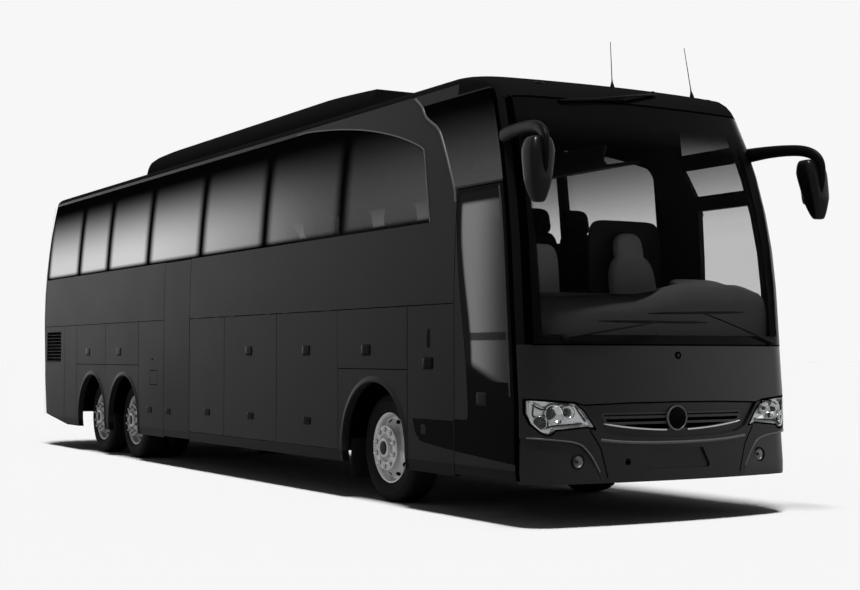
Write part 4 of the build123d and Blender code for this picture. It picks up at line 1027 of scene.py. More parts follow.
@dataclass
class Wheel:
    """One wheel end: tyre with road tread, disc with raised bolt ring, nuts and hand holes."""

    axle: Axle
    side: Side
    centre_y: float = 0.986
    height: float = 0.465
    twin_pitch: float = 0.312
    nuts: int = 10
    blocks: int = 54
    sidewall: Knots = (
        (0.2863, 0.104), (0.296, 0.108), (0.304, 0.114), (0.306, 0.119), (0.312, 0.123), (0.335, 0.131),
        (0.362, 0.1355), (0.390, 0.135), (0.396, 0.1362), (0.402, 0.134), (0.415, 0.131), (0.436, 0.125),
        (0.45, 0.118), (0.459, 0.108), (0.4635, 0.098))
    grooves: tuple[float, ...] = (0.066, 0.024, -0.024, -0.066)
    tread_r: float = 0.465
    groove_r: float = 0.453
    shoulder_r: float = 0.447
    shoulder_w: float = 0.07
    notch: float = 0.006
    dish: Knots = (
        (0.270, -0.121), (0.286, -0.121), (0.286, 0.106), (0.299, 0.119), (0.2995, 0.1225), (0.292, 0.1215),
        (0.281, 0.113), (0.273, 0.1), (0.268, 0.082), (0.262, 0.068), (0.252, 0.066), (0.243, 0.07),
        (0.234, 0.079), (0.225, 0.0895), (0.216, 0.101), (0.208, 0.113), (0.201, 0.127), (0.197, 0.143),
        (0.195, 0.158), (0.191, 0.166), (0.185, 0.169), (0.165, 0.169), (0.135, 0.169), (0.124, 0.168),
        (0.119, 0.163), (0.118, 0.15), (0.1175, 0.139))
    web_rows: tuple[int, int] = (8, 17)
    hole_at: tuple[float, float] = (0.2335, 0.0815)
    hole_half: tuple[float, float] = (0.030, 0.0215)
    hole_turn_r: float = 0.23
    hole_sink: float = 0.006
    # Half sizes of the painted-shade ovals in the hand holes.
    hole_floor: tuple[float, float] = (0.027, 0.020)
    hole_lean: tuple[float, float] = (0.62, 0.78)
    ringed_cap: Knots = (
        (0.1175, 0.139), (0.098, 0.139), (0.088, 0.142), (0.085, 0.152), (0.084, 0.18), (0.081, 0.186),
        (0.07, 0.189), (0.062, 0.188), (0.059, 0.184), (0.045, 0.184), (0.03, 0.187), (0.0, 0.188))
    dark_cap: Knots = (
        (0.0575, 0.184), (0.056, 0.190), (0.047, 0.1935), (0.028, 0.196), (0.0, 0.197))
    bolt_r: float = 0.1575
    nut: Knots = (
        (0.019, 0.168), (0.019, 0.173), (0.0155, 0.1735), (0.0155, 0.192), (0.012, 0.196), (0.0, 0.1965))
    well: Knots = ((0.0235, 0.1682), (0.0235, 0.1700), (0.0, 0.1702))
    outer_back: Knots = (
        (0.0455, -0.02), (0.1, -0.02), (0.1, 0.10), (0.17, 0.128), (0.2, 0.11), (0.24, 0.05), (0.268, 0.05),
        (0.27, -0.121))
    inner_rim: Knots = (
        (0.27, -0.121), (0.286, -0.121), (0.286, 0.121), (0.27, 0.121), (0.27, 0.092), (0.1, 0.092),
        (0.1, 0.0), (0.0455, 0.0))

    @property
    def body(self) -> str:
        """CAD body of this wheel."""
        twin = f"wheels_drive_{self.side.word}"
        return twin if self.axle.twin else f"wheel_{self.axle.word}_{self.side.word}"

    @property
    def nodes(self) -> tuple[str, str]:
        """CAD nodes of tyre and rim."""
        many = "s" if self.axle.twin else ""
        key = f"{many}_{self.axle.word}_{self.side.word}"
        return f"tyre{key}", f"rim{key}"

    def place(self, patch: Patch, inward: float = 0.0) -> Patch:
        """Patch made round the origin, outer face at +Y, set at the wheel's place."""
        turned = patch if self.side is Side.LEFT else patch.mirrored()
        return turned.moved((self.axle.x, self.side.value * (self.centre_y - inward), self.height))

    def tyre(self) -> Patch:
        """Tyre: sidewall curve, then ribs and shoulder blocks; r(w, t) = r0(w) - notch(t) shoulder(w)."""
        half = list(self.sidewall)
        ribs = []
        for groove in self.grooves:
            ribs += [(self.tread_r, groove + 0.0055), (self.groove_r, groove + 0.004),
                     (self.groove_r, groove - 0.004), (self.tread_r, groove - 0.0055)]
        profile = np.array(half + ribs + [(r, -w) for r, w in half[::-1]] + half[:1])
        segments = 4 * self.blocks
        patch = Shape.turned(profile, segments)
        radius, width = profile.T
        shoulder = (radius > self.shoulder_r) & (np.abs(width) > self.shoulder_w)
        notch = np.where((np.arange(segments) // 2) % 2 == 0, 0.0, self.notch)
        shrink = 1 - notch[:, None] * shoulder[None] / radius[None]
        factor = np.stack([shrink, np.ones_like(shrink), shrink], -1)
        return Patch((patch.points.reshape(factor.shape) * factor).reshape(-1, 3), patch.quads)

    def disc(self) -> Patch:
        """Disc: lip, barrel, dished web and bolt ring; the web sinks at each hand hole by a smooth oval."""
        profile = np.array(self.dish)
        segments = 24 * self.nuts
        patch = Shape.turned(profile, segments)
        share = np.arange(segments) / segments * self.nuts
        turn = np.abs(((share + 0.5) % 1) - 0.5) * FULL_TURN / self.nuts
        row = np.arange(len(profile))
        web = (row >= self.web_rows[0]) & (row <= self.web_rows[1])
        round_, out = self.hole_half
        reach = (turn[:, None] * self.hole_turn_r / round_) ** 2
        reach = reach + ((profile[None, :, 0] - self.hole_at[0]) / out) ** 2
        points = patch.points.reshape(segments, len(profile), 3)
        points[..., 1] -= np.clip((1.35 - reach) / 0.3, 0, 1) * web * self.hole_sink
        return Patch(points.reshape(-1, 3), patch.quads)

    def hole_floors(self) -> Patch:
        """Dark ovals at the bottom of the hand holes: painted shade for the dark seen through them."""
        flat = Shape.plate(self.hole_floor, 0.004, 0.9, 24)
        p = flat.points
        radius, across = self.hole_at
        tilt, face = self.hole_lean
        discs = []
        for number in range(self.nuts):
            a = FULL_TURN * number / self.nuts
            c, s = math.cos(a), math.sin(a)
            outward, round_ = np.array([c, 0, s]), np.array([-s, 0, c])
            lean = np.array([tilt * c, face, tilt * s])
            rise = np.cross(round_, lean)
            at = outward * radius + (0, across, 0)
            points = at + p[:, :1] * round_ + p[:, 1:2] * rise + p[:, 2:] * lean
            discs.append(Patch(points, flat.quads))
        return Patch.join(discs)

    def on_bolts(self, profile: Sequence[Sequence[float]], segments: int) -> Patch:
        """A turned profile repeated round the bolt circle."""
        one = Shape.turned(profile, segments)
        turns = FULL_TURN * (np.arange(self.nuts) + 0.5) / self.nuts
        radius = self.bolt_r
        return Patch.join(one.moved((radius * math.cos(a), 0, radius * math.sin(a))) for a in turns)

    def build(self) -> None:
        """Makes tyre, disc, the hub with its dark cap, the nuts with their wells, and the hidden backs."""
        tyre_node, rim_node = self.nodes
        key = f"{self.axle.word}_{self.side.word}"
        tyres = [self.place(self.tyre())]
        backs = [self.place(Shape.turned(self.outer_back, 64))]
        if self.axle.twin:
            tyres.append(self.place(self.tyre(), self.twin_pitch))
            backs.append(self.place(Shape.turned(self.inner_rim, 64), self.twin_pitch))
        bright = self.axle is Axle.FRONT
        alloy = BRIGHT_ALLOY if bright else DULL_ALLOY
        nut_finish = CHROME if bright else DULL_ALLOY
        hub = self.place(Shape.turned(self.ringed_cap, 64))
        cap = self.place(Shape.turned(self.dark_cap, 48))
        nuts = self.place(self.on_bolts(self.nut, 6))
        wells = self.place(self.on_bolts(self.well, 24))
        Maker.piece(f"tyre_{key}", tyres, TYRE_RUBBER, self.body, [tyre_node], "tyre", 50.0)
        Maker.piece(f"disc_{key}", self.place(self.disc()), alloy, self.body, [rim_node], "rim", 46.0)
        Maker.piece(f"disc_back_{key}", backs, DARK_METAL, self.body)
        Maker.piece(f"hub_{key}", hub, BRIGHT_ALLOY, self.body)
        Maker.piece(f"hub_cap_{key}", cap, DARK_METAL, self.body)
        Maker.piece(f"nuts_{key}", nuts, nut_finish, self.body, sharp=20.0)
        # Painted shade: black ovals fill the hand holes.
        Maker.piece(f"hand_holes_{key}", self.place(self.hole_floors()), SEAM_AND_SHADE_BLACK, self.body)
        Maker.piece(f"nut_wells_{key}", wells, DARK_METAL, self.body, closed=False)


@dataclass
class Glazing:
    """Side and rear glass, the windscreen and the black joints round it."""

    screen_low: float = 1.330
    screen_high: float = 3.205
    screen_edge: float = 0.175
    door_edge: float = 0.284
    bar_depth: float = -0.035
    driver_bars: tuple[tuple[float, float, float, float], ...] = (
        (4.42, 4.84, 2.0, 3.24), (4.84, 5.50, 2.85, 2.99), (4.84, 5.62, 2.56, 2.62))

    def build(self) -> None:
        """Dresses the panes and lays the joints."""
        Maker.dress(["side_glass"], SIDE_GLASS)
        Maker.dress(["rear_glass"], REAR_GLASS)
        Maker.dress(["windscreen"], SCREEN_GLASS)
        for side in Side:
            self.pillar(side)
        self.sills()
        self.driver_frame()

    def driver_frame(self) -> None:
        """Frame of the driver's side window, inside the left glass: a rear post and two rails."""
        bars = []
        for x0, x1, z0, z1 in self.driver_bars:
            x = np.linspace(x0, x1, 30)[:, None]
            z = np.linspace(z0, z1, 10)[None]
            bars.append(Patch.grid(FORM.side(x, z, Side.LEFT, self.bar_depth)).faced(Side.LEFT.outward))
        Maker.piece("driver_window_frame", bars, SATIN_BLACK, closed=False)

    def pillar(self, side: Side) -> None:
        """Black joints along a screen pillar: bands of the corner surface between two set-backs."""
        bands = []
        rows = ((self.screen_edge - 0.035, self.screen_edge + 0.014, self.screen_low, 3.2),
                (self.door_edge - 0.03, self.door_edge + 0.012, 0.34, 3.29))
        for near, far, low, high in rows:
            z = np.linspace(low, high, 60)[:, None]
            back = np.linspace(near, far, 6)[None]
            bands.append(Patch.grid(FORM.corner(back, z, side, 0.0012)).faced((0.5, side.value, 0)))
        Maker.piece(f"pillar_joints_{side.word}", bands, SEAM_AND_SHADE_BLACK, closed=False)

    def sills(self) -> None:
        """Joints along the lower and upper edge of the windscreen."""
        y = np.linspace(-1.2, 1.2, 90)
        bands = [Skin.on_nose(np.stack([y, np.full_like(y, z)], -1), width)
                 for z, width in ((self.screen_low, 0.012), (self.screen_high, 0.016))]
        Maker.piece("screen_joints", bands, SEAM_AND_SHADE_BLACK, closed=False)


@dataclass
class FrontDoor:
    """Entry door: black lower part, body-colour strip at its rear edge, and the black wedge beside it."""

    x0: float = 5.037
    x1: float = 5.872
    wedge: Knots = (
        (4.375, 0.745), (4.40, 0.68), (4.43, 0.62), (4.50, 0.567), (4.62, 0.553), (4.80, 0.535),
        (5.03, 0.514), (5.30, 0.496), (5.60, 0.475), (5.88, 0.457))
    wedge_top: float = 0.745
    square: tuple[float, float] = (4.555, 0.66)
    square_half: tuple[float, float] = (0.04, 0.04)
    strip_edge: Knots = (
        (2.30, 5.042), (2.1, 5.065), (1.8, 5.105), (1.5, 5.155), (1.25, 5.195), (1.0, 5.222), (0.86, 5.233),
        (0.80, 5.233), (0.775, 5.224), (0.760, 5.205))
    foot_z: float = 0.337
    grip: tuple[float, float] = (5.43, 0.925)
    grip_half: tuple[float, float] = (0.075, 0.05)

    def build(self) -> None:
        """Dresses the door and lays the coloured areas on it."""
        Maker.dress(["front_door_glass"], DOOR_GLASS)
        Maker.dress(["front_door"], GLOSS_BLACK)
        Maker.dress(["front_door_arm", "mid_door_arm"], DARK_METAL)
        for side in Side:
            self.panel_wedge(side)
        self.strip()
        self.foot()
        self.handle()

    def floor_line(self, x: Array) -> Array:
        """Height of the wedge's lower edge along the coach."""
        return np.interp(x, *np.asarray(self.wedge).T)

    def panel_wedge(self, side: Side) -> None:
        """Black wedge on the panel behind the door, with a small square plate on it."""
        end = 5.018 if side is Side.RIGHT else 5.86
        x = np.concatenate([np.linspace(4.375, 4.5, 10), np.linspace(4.52, end, 24)])
        rows = np.stack([x, self.floor_line(x), x, np.full_like(x, self.wedge_top)], -1)
        Maker.piece(f"wedge_{side.word}", Skin.side_area(rows, side), GLOSS_BLACK, closed=False)
        square = Skin.plate(*self.square, self.square_half, side, 0.002)
        Maker.piece(f"wedge_plate_{side.word}", square, SATIN_BLACK)

    def strip(self) -> None:
        """Body-colour strip at the door's rear edge, widening downwards to a rounded foot."""
        line = Shape.smooth_line(self.strip_edge, 60)
        rows = np.stack([np.full(60, self.x0), line[:, 0], line[:, 1], line[:, 0]], -1)
        area = Skin.side_area(rows, Side.RIGHT, 0.0016)
        Maker.piece("door_strip", area, PAINT, "front_door", closed=False)

    def foot(self) -> None:
        """Body-colour area under the wedge on the door, down to its lower edge."""
        x = np.linspace(self.x0, self.x1 + 0.012, 40)
        rows = np.stack([x, np.full_like(x, self.foot_z), x, self.floor_line(x)], -1)
        area = Skin.side_area(rows, Side.RIGHT, 0.0012, 14)
        Maker.piece("door_foot", area, PAINT, "front_door", closed=False)

    def handle(self) -> None:
        """Flush outer handle and the bright seal at the door's front edge."""
        grip = Skin.plate(*self.grip, self.grip_half, Side.RIGHT)
        Maker.piece("door_handle", grip, SATIN_BLACK, "front_door")
        z = np.linspace(0.95, 2.52, 50)
        edge = FORM.corner(0.345, z, Side.RIGHT, 0.004)
        Maker.piece("door_seal", Skin.bead(edge, 0.006, AHEAD), TRIM_GREY, "front_door")


@dataclass
class Nose:
    """Front panel and bumper with their seams, rolled creases painted light grey as painted highlights, and
    the round plug.
    """

    crease: Knots = (
        (1.235, 0.655), (1.168, 0.651), (1.059, 0.640), (0.942, 0.627), (0.875, 0.610), (0.837, 0.591),
        (0.797, 0.552), (0.762, 0.509), (0.722, 0.445), (0.700, 0.40))
    mask_edge: Knots = (
        (0.0, 0.905), (0.44, 0.902), (0.83, 0.890), (0.902, 0.911), (1.099, 0.927), (1.248, 0.939))
    bumper_seam: Knots = (
        (0.776, 0.715), (0.776, 0.70), (0.692, 0.574), (0.634, 0.358))
    brow: Knots = (
        (-0.69, 0.634), (-0.52, 0.617), (-0.3, 0.606), (0.0, 0.602), (0.3, 0.606), (0.52, 0.617),
        (0.69, 0.634))
    seam: float = 0.010
    plug_at: tuple[float, float] = (0.027, 1.253)
    plug_ring: Knots = (
        (0.0, -0.004), (0.026, -0.004), (0.028, 0.004), (0.023, 0.007), (0.019, 0.003), (0.016, 0.001),
        (0.0, 0.001))
    plug_core: Knots = ((0.013, 0.0), (0.012, 0.004), (0.0, 0.006))

    def build(self) -> None:
        """Dresses the panels and lays the seams."""
        # The front gets the darker copy of the body paint, painted shade.
        Maker.dress(["front_panel", "front_bumper"], SHADED_FRONT_PAINT)
        seams = []
        for sign in (-1, 1):
            for knots in (self.mask_edge, self.bumper_seam):
                line = Shape.line(*((sign * y, z) for y, z in knots), step=0.03)
                seams.append(Skin.on_nose(line, self.seam))
        Maker.piece("front_seams", seams, SEAM_AND_SHADE_BLACK, closed=False)
        self.creases()
        self.plug()

    def creases(self) -> None:
        """Rolled creases painted light grey as painted highlights: one over each fog lamp's recess, and one
        under the grille's bowl.
        """
        beads = []
        for sign in (-1, 1):
            line = Shape.smooth_line([(sign * y, z) for y, z in self.crease], 70)
            beads.append(Skin.bead(FORM.nose(line[:, 0], line[:, 1], -0.004), 0.0075, AHEAD))
        brow = Shape.smooth_line(self.brow, 80)
        beads.append(Skin.bead(FORM.nose(brow[:, 0], brow[:, 1], -0.006), 0.013, AHEAD))
        Maker.piece("bumper_creases", beads, HIGHLIGHT_AND_RING_GREY)

    def plug(self) -> None:
        """Round plug in the front panel: a ring with a dull middle."""
        at = FORM.nose(*np.asarray(self.plug_at))
        ring = Shape.turned(self.plug_ring, 36).to_front()
        Maker.piece("plug_ring", ring.moved(at), SEAM_AND_SHADE_BLACK)
        core = Shape.turned(self.plug_core, 28).to_front()
        Maker.piece("plug_core", core.moved(at), DARK_METAL, closed=False)


@dataclass
class Headlamps:
    """Headlamps and fog lamps: bright shells, round reflectors, light strips and clear covers."""

    lamp: Knots = (
        (1.246, 0.934), (1.099, 0.922), (0.902, 0.906), (0.885, 0.893), (0.829, 0.846), (0.732, 0.712),
        (0.806, 0.731), (1.059, 0.709), (1.083, 0.683), (1.108, 0.677), (1.140, 0.682), (1.168, 0.697),
        (1.223, 0.756), (1.246, 0.835))
    middle: tuple[float, float] = (1.045, 0.815)
    shell: Knots = (
        (1.0, -0.002), (0.985, -0.016), (0.95, -0.034), (0.8, -0.044), (0.0, -0.046))
    cover: Knots = ((1.0, -0.001), (0.98, 0.0), (0.6, 0.0), (0.0, 0.0))
    bowls: tuple[Point, ...] = (
        (1.160, 0.765, 0.046), (1.062, 0.828, 0.062), (0.945, 0.838, 0.046))
    strip: Knots = (
        (1.228, 0.918), (1.226, 0.84), (1.205, 0.762), (1.155, 0.704), (1.108, 0.694))
    blades: tuple[Knots, ...] = (
        ((1.20, 0.895), (1.13, 0.862), (1.0, 0.90), (0.905, 0.882)),
        ((1.115, 0.73), (1.03, 0.745), (0.83, 0.755)),
        ((1.195, 0.88), (1.19, 0.81), (1.115, 0.815), (1.10, 0.74)),
        ((1.0, 0.885), (1.003, 0.76)),
        ((0.885, 0.88), (0.80, 0.77)))
    fog: tuple[float, float] = (0.870, 0.480)
    fog_back: float = 0.0125
    fog_ring: Knots = (
        (0.058, -0.02), (0.058, 0.004), (0.052, 0.008), (0.044, 0.004), (0.042, -0.02))
    fog_cover: Knots = ((0.044, 0.0), (0.036, 0.004), (0.0, 0.006))

    @cached_property
    def outline(self) -> Array:
        """Lamp outline, filled in."""
        return Shape.line(*self.lamp, self.lamp[0], step=0.012)[:-1]

    def face(self, sign: int, rows: Sequence[Sequence[float]]) -> Patch:
        """Surface of rings: P(s, i) = nose(m + s (outline(i) - m), lift(s)).

        Args:
            sign: side of the coach.
            rows: share of the outline and lift off the nose, from rim to middle.

        Returns:
            The sheet, facing forward.
        """
        share, lift = np.asarray(rows, float).T
        middle = np.asarray(self.middle)
        flat = middle + share[:, None, None] * (self.outline[None] - middle)
        surface = FORM.nose(sign * flat[..., 0], flat[..., 1], lift[:, None])
        return Patch.grid(surface, wrap_v=True).faced(AHEAD)

    def reflector(self, y: float, z: float, radius: float, depth: float = 0.0) -> tuple[Patch, Patch]:
        """Round reflector, square to the front's surface: rim with parabolic bowl, and cap over the bulb."""
        at = FORM.nose(np.array(y), np.array(z), -0.018 - depth)
        left, right = FORM.nose(np.array([y + radius, y - radius]), np.full(2, z))
        swing = math.atan2(right[0] - left[0], left[1] - right[1])
        s = np.linspace(1.0, 0.0, 8)
        bowl = [(radius * 1.1, -0.012), (radius * 1.1, 0.004), (radius * 1.04, 0.006)]
        bowl += [(radius * k, -0.026 + 0.028 * k * k) for k in s]
        cap = [(0.32 * radius, -0.024), (0.32 * radius, -0.004), (0.26 * radius, 0.002), (0.0, 0.004)]
        return (Shape.turned(bowl, 40).to_front().swung(swing).moved(at),
                Shape.turned(cap, 28).to_front().swung(swing).moved(at))

    def build(self) -> None:
        """Makes both lamps and both fog lamps."""
        for side in Side:
            sign = side.value
            shell = self.face(sign, self.shell)
            Maker.piece(f"lamp_shell_{side.word}", shell, LAMP_SHELL, replaces=["front_lamps"], slot="lamp",
                        closed=False)
            bowls, caps = zip(*[self.reflector(sign * y, z, radius) for y, z, radius in self.bowls])
            Maker.piece(f"lamp_bowls_{side.word}", bowls, CHROME, closed=False)
            Maker.piece(f"lamp_caps_{side.word}", caps, DARK_METAL, closed=False)
            self.trim(sign, side.word)
            cover = self.face(sign, self.cover)
            Maker.piece(f"lamp_cover_{side.word}", cover, CLEAR, closed=False)
            self.fog_lamp(sign, side.word)

    def trim(self, sign: int, word: str) -> None:
        """Dark frame round the lamp, the light strip along its outer edge and dark blades between bowls."""
        loop = np.concatenate([self.outline, self.outline[:2]]) * (sign, 1)
        Maker.piece(f"lamp_frame_{word}", Skin.on_nose(loop, 0.013, 0.0015), SEAM_AND_SHADE_BLACK, closed=False)
        strip = Shape.smooth_line(self.strip, 40)
        path = FORM.nose(sign * strip[:, 0], strip[:, 1], -0.012)
        Maker.piece(f"lamp_strip_{word}", Skin.bead(path, 0.008, AHEAD), PALE_LENS)
        blades = []
        for knots in self.blades:
            line = Shape.smooth_line(knots, 24)
            blades.append(Skin.bead(FORM.nose(sign * line[:, 0], line[:, 1], -0.026), 0.006, AHEAD))
        Maker.piece(f"lamp_blades_{word}", blades, SATIN_BLACK)

    def fog_lamp(self, sign: int, word: str) -> None:
        """Fog lamp: black ring, dished reflector and a clear cover, sunk in the bumper's recess."""
        y, z = self.fog
        at = FORM.nose(np.array(sign * y), np.array(z), -self.fog_back)
        ring = Shape.turned(self.fog_ring, 40)
        Maker.piece(f"fog_ring_{word}", ring.to_front().moved(at), SATIN_BLACK, closed=False)
        bowl, cap = self.reflector(sign * y, z, 0.040, 0.004)
        Maker.piece(f"fog_bowl_{word}", bowl, DULL_ALLOY, closed=False)
        Maker.piece(f"fog_cap_{word}", cap, SATIN_BLACK, closed=False)
        cover = Shape.turned(self.fog_cover, 36)
        Maker.piece(f"fog_cover_{word}", cover.to_front().moved(at), CLEAR, closed=False)


@dataclass
class Grille:
    """Grille in the bumper's bowl: dark bars, bright lower lip, a black backing sheet that is painted shade,
    and the plain round boss.
    """

    sink: float = 0.022
    low: float = 0.690
    boss_z: float = 0.783
    boss_r: float = 0.097
    boss_back: float = 0.008
    reach: float = 0.655
    bow: float = 0.048
    bow_half: float = 0.612
    top: float = 0.834
    depth: float = 0.05

    def build(self) -> None:
        """Dresses the CAD grille and adds lip, the black backing sheet of painted shade, and boss."""
        # The bars take the lighter grille paint, a painted highlight.
        Maker.dress(["grille"], GRILLE_HIGHLIGHT_PAINT)
        y = np.linspace(-self.reach, self.reach, 60)
        lower = self.low + self.bow * (y / self.bow_half) ** 2
        gap = np.abs(y) > self.boss_r - 0.012
        for word, keep in (("right", gap & (y < 0)), ("left", gap & (y > 0))):
            path = FORM.nose(y[keep], lower[keep] + 0.006, -self.sink + 0.002)
            scale = np.clip((0.675 - np.abs(y[keep])) / 0.06, 0.25, 1.0)
            lip = Shape.swept(path, Shape.ring(0.010, 0.013, 12), AHEAD, scale)
            Maker.piece(f"grille_lip_{word}", lip, CHROME)
        z = np.linspace(0.0, 1.0, 6)[None]
        height = lower[:, None] * (1 - z) + self.top * z
        back = FORM.nose(y[:, None], height, -self.sink - self.depth)
        # Painted shade: a black sheet behind the bars darkens the opening.
        Maker.piece("grille_back", Patch.grid(back).faced(AHEAD), SEAM_AND_SHADE_BLACK, closed=False)
        self.boss()

    def boss(self) -> None:
        """Plain boss: a polished ring round a dark convex disc."""
        at = (FORM.front - self.boss_back, 0.0, self.boss_z)
        ring = Shape.turned([(self.boss_r, -0.012), (self.boss_r, 0.0), (self.boss_r - 0.006, 0.005),
                             (self.boss_r - 0.013, 0.003), (self.boss_r - 0.015, 0.0)], 64)
        # The ring's own tone is this light grey.
        Maker.piece("boss_ring", ring.to_front().moved(at), HIGHLIGHT_AND_RING_GREY, closed=False)
        disc = Shape.turned([(self.boss_r - 0.014, 0.0005), (0.06, 0.003), (0.03, 0.0045), (0.0, 0.005)], 64)
        Maker.piece("boss_disc", disc.to_front().moved(at), GLOSS_BLACK, closed=False)


@dataclass
class Mirrors:
    """Outside mirrors: tapered arms that swing forward from the pillars and hang a rounded head."""

    arm: tuple[Point, ...] = (
        (5.590, 1.172, 2.893), (5.72, 1.200, 2.902), (5.86, 1.226, 2.906), (6.02, 1.256, 2.902),
        (6.17, 1.284, 2.885), (6.275, 1.303, 2.846), (6.335, 1.314, 2.780), (6.352, 1.318, 2.690),
        (6.348, 1.318, 2.600), (6.336, 1.317, 2.535))
    taper: tuple[float, ...] = (1.25, 1.12, 1.0, 0.92, 0.88, 0.84, 0.78, 0.68, 0.56, 0.36)
    tall: float = 0.050
    thick: float = 0.032
    low: float = 2.330
    high: float = 2.805
    back: Knots = ((2.33, 6.245), (2.45, 6.200), (2.70, 6.145), (2.805, 6.150))
    front: Knots = ((2.33, 6.330), (2.50, 6.355), (2.70, 6.345), (2.805, 6.320))
    inner: Knots = ((2.33, 1.285), (2.45, 1.255), (2.70, 1.205), (2.805, 1.200))
    outer: Knots = ((2.33, 1.400), (2.50, 1.424), (2.70, 1.420), (2.805, 1.405))
    glass_at: Point = (6.174, 1.318, 2.600)
    glass_half: tuple[float, float] = (0.058, 0.150)

    def build(self) -> None:
        """Makes both mirrors."""
        rows = (("arm", self.arm_patch(), MIRROR_ARM), ("head", self.head(), MIRROR_SHELL),
                ("glass", self.glass(), MIRROR_GLASS))
        for side in Side:
            for word, patch, finish in rows:
                placed = patch if side is Side.LEFT else patch.mirrored()
                node = ["mirrors"] if word != "glass" else []
                Maker.piece(f"mirror_{word}_{side.word}", placed, finish, replaces=node, sharp=60.0)

    def arm_patch(self) -> Patch:
        """Oval section carried along the arm's curve, thinner toward its tip."""
        path = Shape.smooth_line(self.arm, 60)
        scale = np.interp(np.linspace(0, 1, 60), np.linspace(0, 1, len(self.taper)), self.taper)
        return Shape.swept(path, Shape.ring(self.tall, self.thick, 20, 0.8), (-0.182, 0.983, 0.0), scale)

    def head(self) -> Patch:
        """Head: rings P(v, u) = mid(z) + half(z) C(v) (C(u), S(u)) at z = zm + h S(v), in signed powers."""
        v = np.linspace(-math.pi / 2, math.pi / 2, 26)
        rise = Shape.signed_power(np.sin(v), 0.7)
        z = 0.5 * (self.low + self.high) + 0.5 * (self.high - self.low) * rise
        size = np.maximum(np.cos(v), 0.0) ** 0.28
        edges = (self.back, self.front, self.inner, self.outer)
        back, front, inner, outer = (np.interp(z, *np.asarray(edge).T) for edge in edges)
        ring = Shape.ring(1.0, 1.0, 36, 0.5)
        x = (front + back)[:, None] / 2 + ((front - back) * size)[:, None] / 2 * ring[None, :, 0]
        y = (outer + inner)[:, None] / 2 + ((outer - inner) * size)[:, None] / 2 * ring[None, :, 1]
        return Patch.grid(np.stack([x, y, np.broadcast_to(z[:, None], x.shape)], -1), wrap_v=True)

    def glass(self) -> Patch:
        """Flat glass in the head's rear face."""
        flat = Shape.plate(self.glass_half, 0.008, 0.35)
        p = flat.points
        x, y, z = self.glass_at
        lean = (p[:, 1] + 0.03) * 0.156
        return Patch(np.stack([x - p[:, 2] - lean, y + p[:, 0], z + p[:, 1]], -1), flat.quads)


@dataclass
class Wipers:
    """Wipers: round pivots, tapered arms and slim blades lying off the glass."""

    rows: tuple[Knots, ...] = (
        ((-0.962, 1.384), (-0.677, 1.504), (0.319, 1.504)),
        ((1.034, 1.355), (-0.233, 1.567), (0.735, 1.591)),
        ((0.200, 3.318), (-0.140, 3.245), (-0.760, 3.185)))
    lift: float = 0.020
    boss: Knots = (
        (0.0, -0.01), (0.032, -0.01), (0.032, 0.012), (0.026, 0.024), (0.012, 0.029), (0.0, 0.03))

    def build(self) -> None:
        """Makes every wiper of the row."""
        arms, blades, rubbers, bosses = [], [], [], []
        for pivot, tail, head in self.rows:
            t = np.linspace(0, 1, 24)[:, None]
            blade = np.asarray(tail) * (1 - t) + np.asarray(head) * t
            middle = blade[12]
            arm = np.asarray(pivot) * (1 - t) + middle * t
            rise = self.lift + 0.016 * np.sin(math.pi * t[:, 0])
            path = FORM.nose(arm[:, 0], arm[:, 1], rise)
            taper = np.linspace(1.25, 0.6, 24)
            arms.append(Shape.swept(path, Shape.ring(0.009, 0.013, 10), AHEAD, taper))
            path = FORM.nose(blade[:, 0], blade[:, 1], self.lift)
            slim = np.clip(4.5 * np.minimum(t[:, 0], 1 - t[:, 0]) + 0.35, 0, 1)
            blades.append(Shape.swept(path, Shape.ring(0.0105, 0.008, 10), AHEAD, slim))
            path = FORM.nose(blade[:, 0], blade[:, 1], 0.008)
            rubbers.append(Shape.swept(path, Shape.ring(0.003, 0.008, 8), AHEAD))
            at = FORM.nose(np.array(pivot[0]), np.array(pivot[1]))
            bosses.append(Shape.turned(self.boss, 28).to_front().moved(at))
        Maker.piece("wiper_arms", [*arms, *bosses], SATIN_BLACK, replaces=["wipers"])
        Maker.piece("wiper_blades", blades, SATIN_BLACK)
        Maker.piece("wiper_rubbers", rubbers, SEAM_AND_SHADE_BLACK)


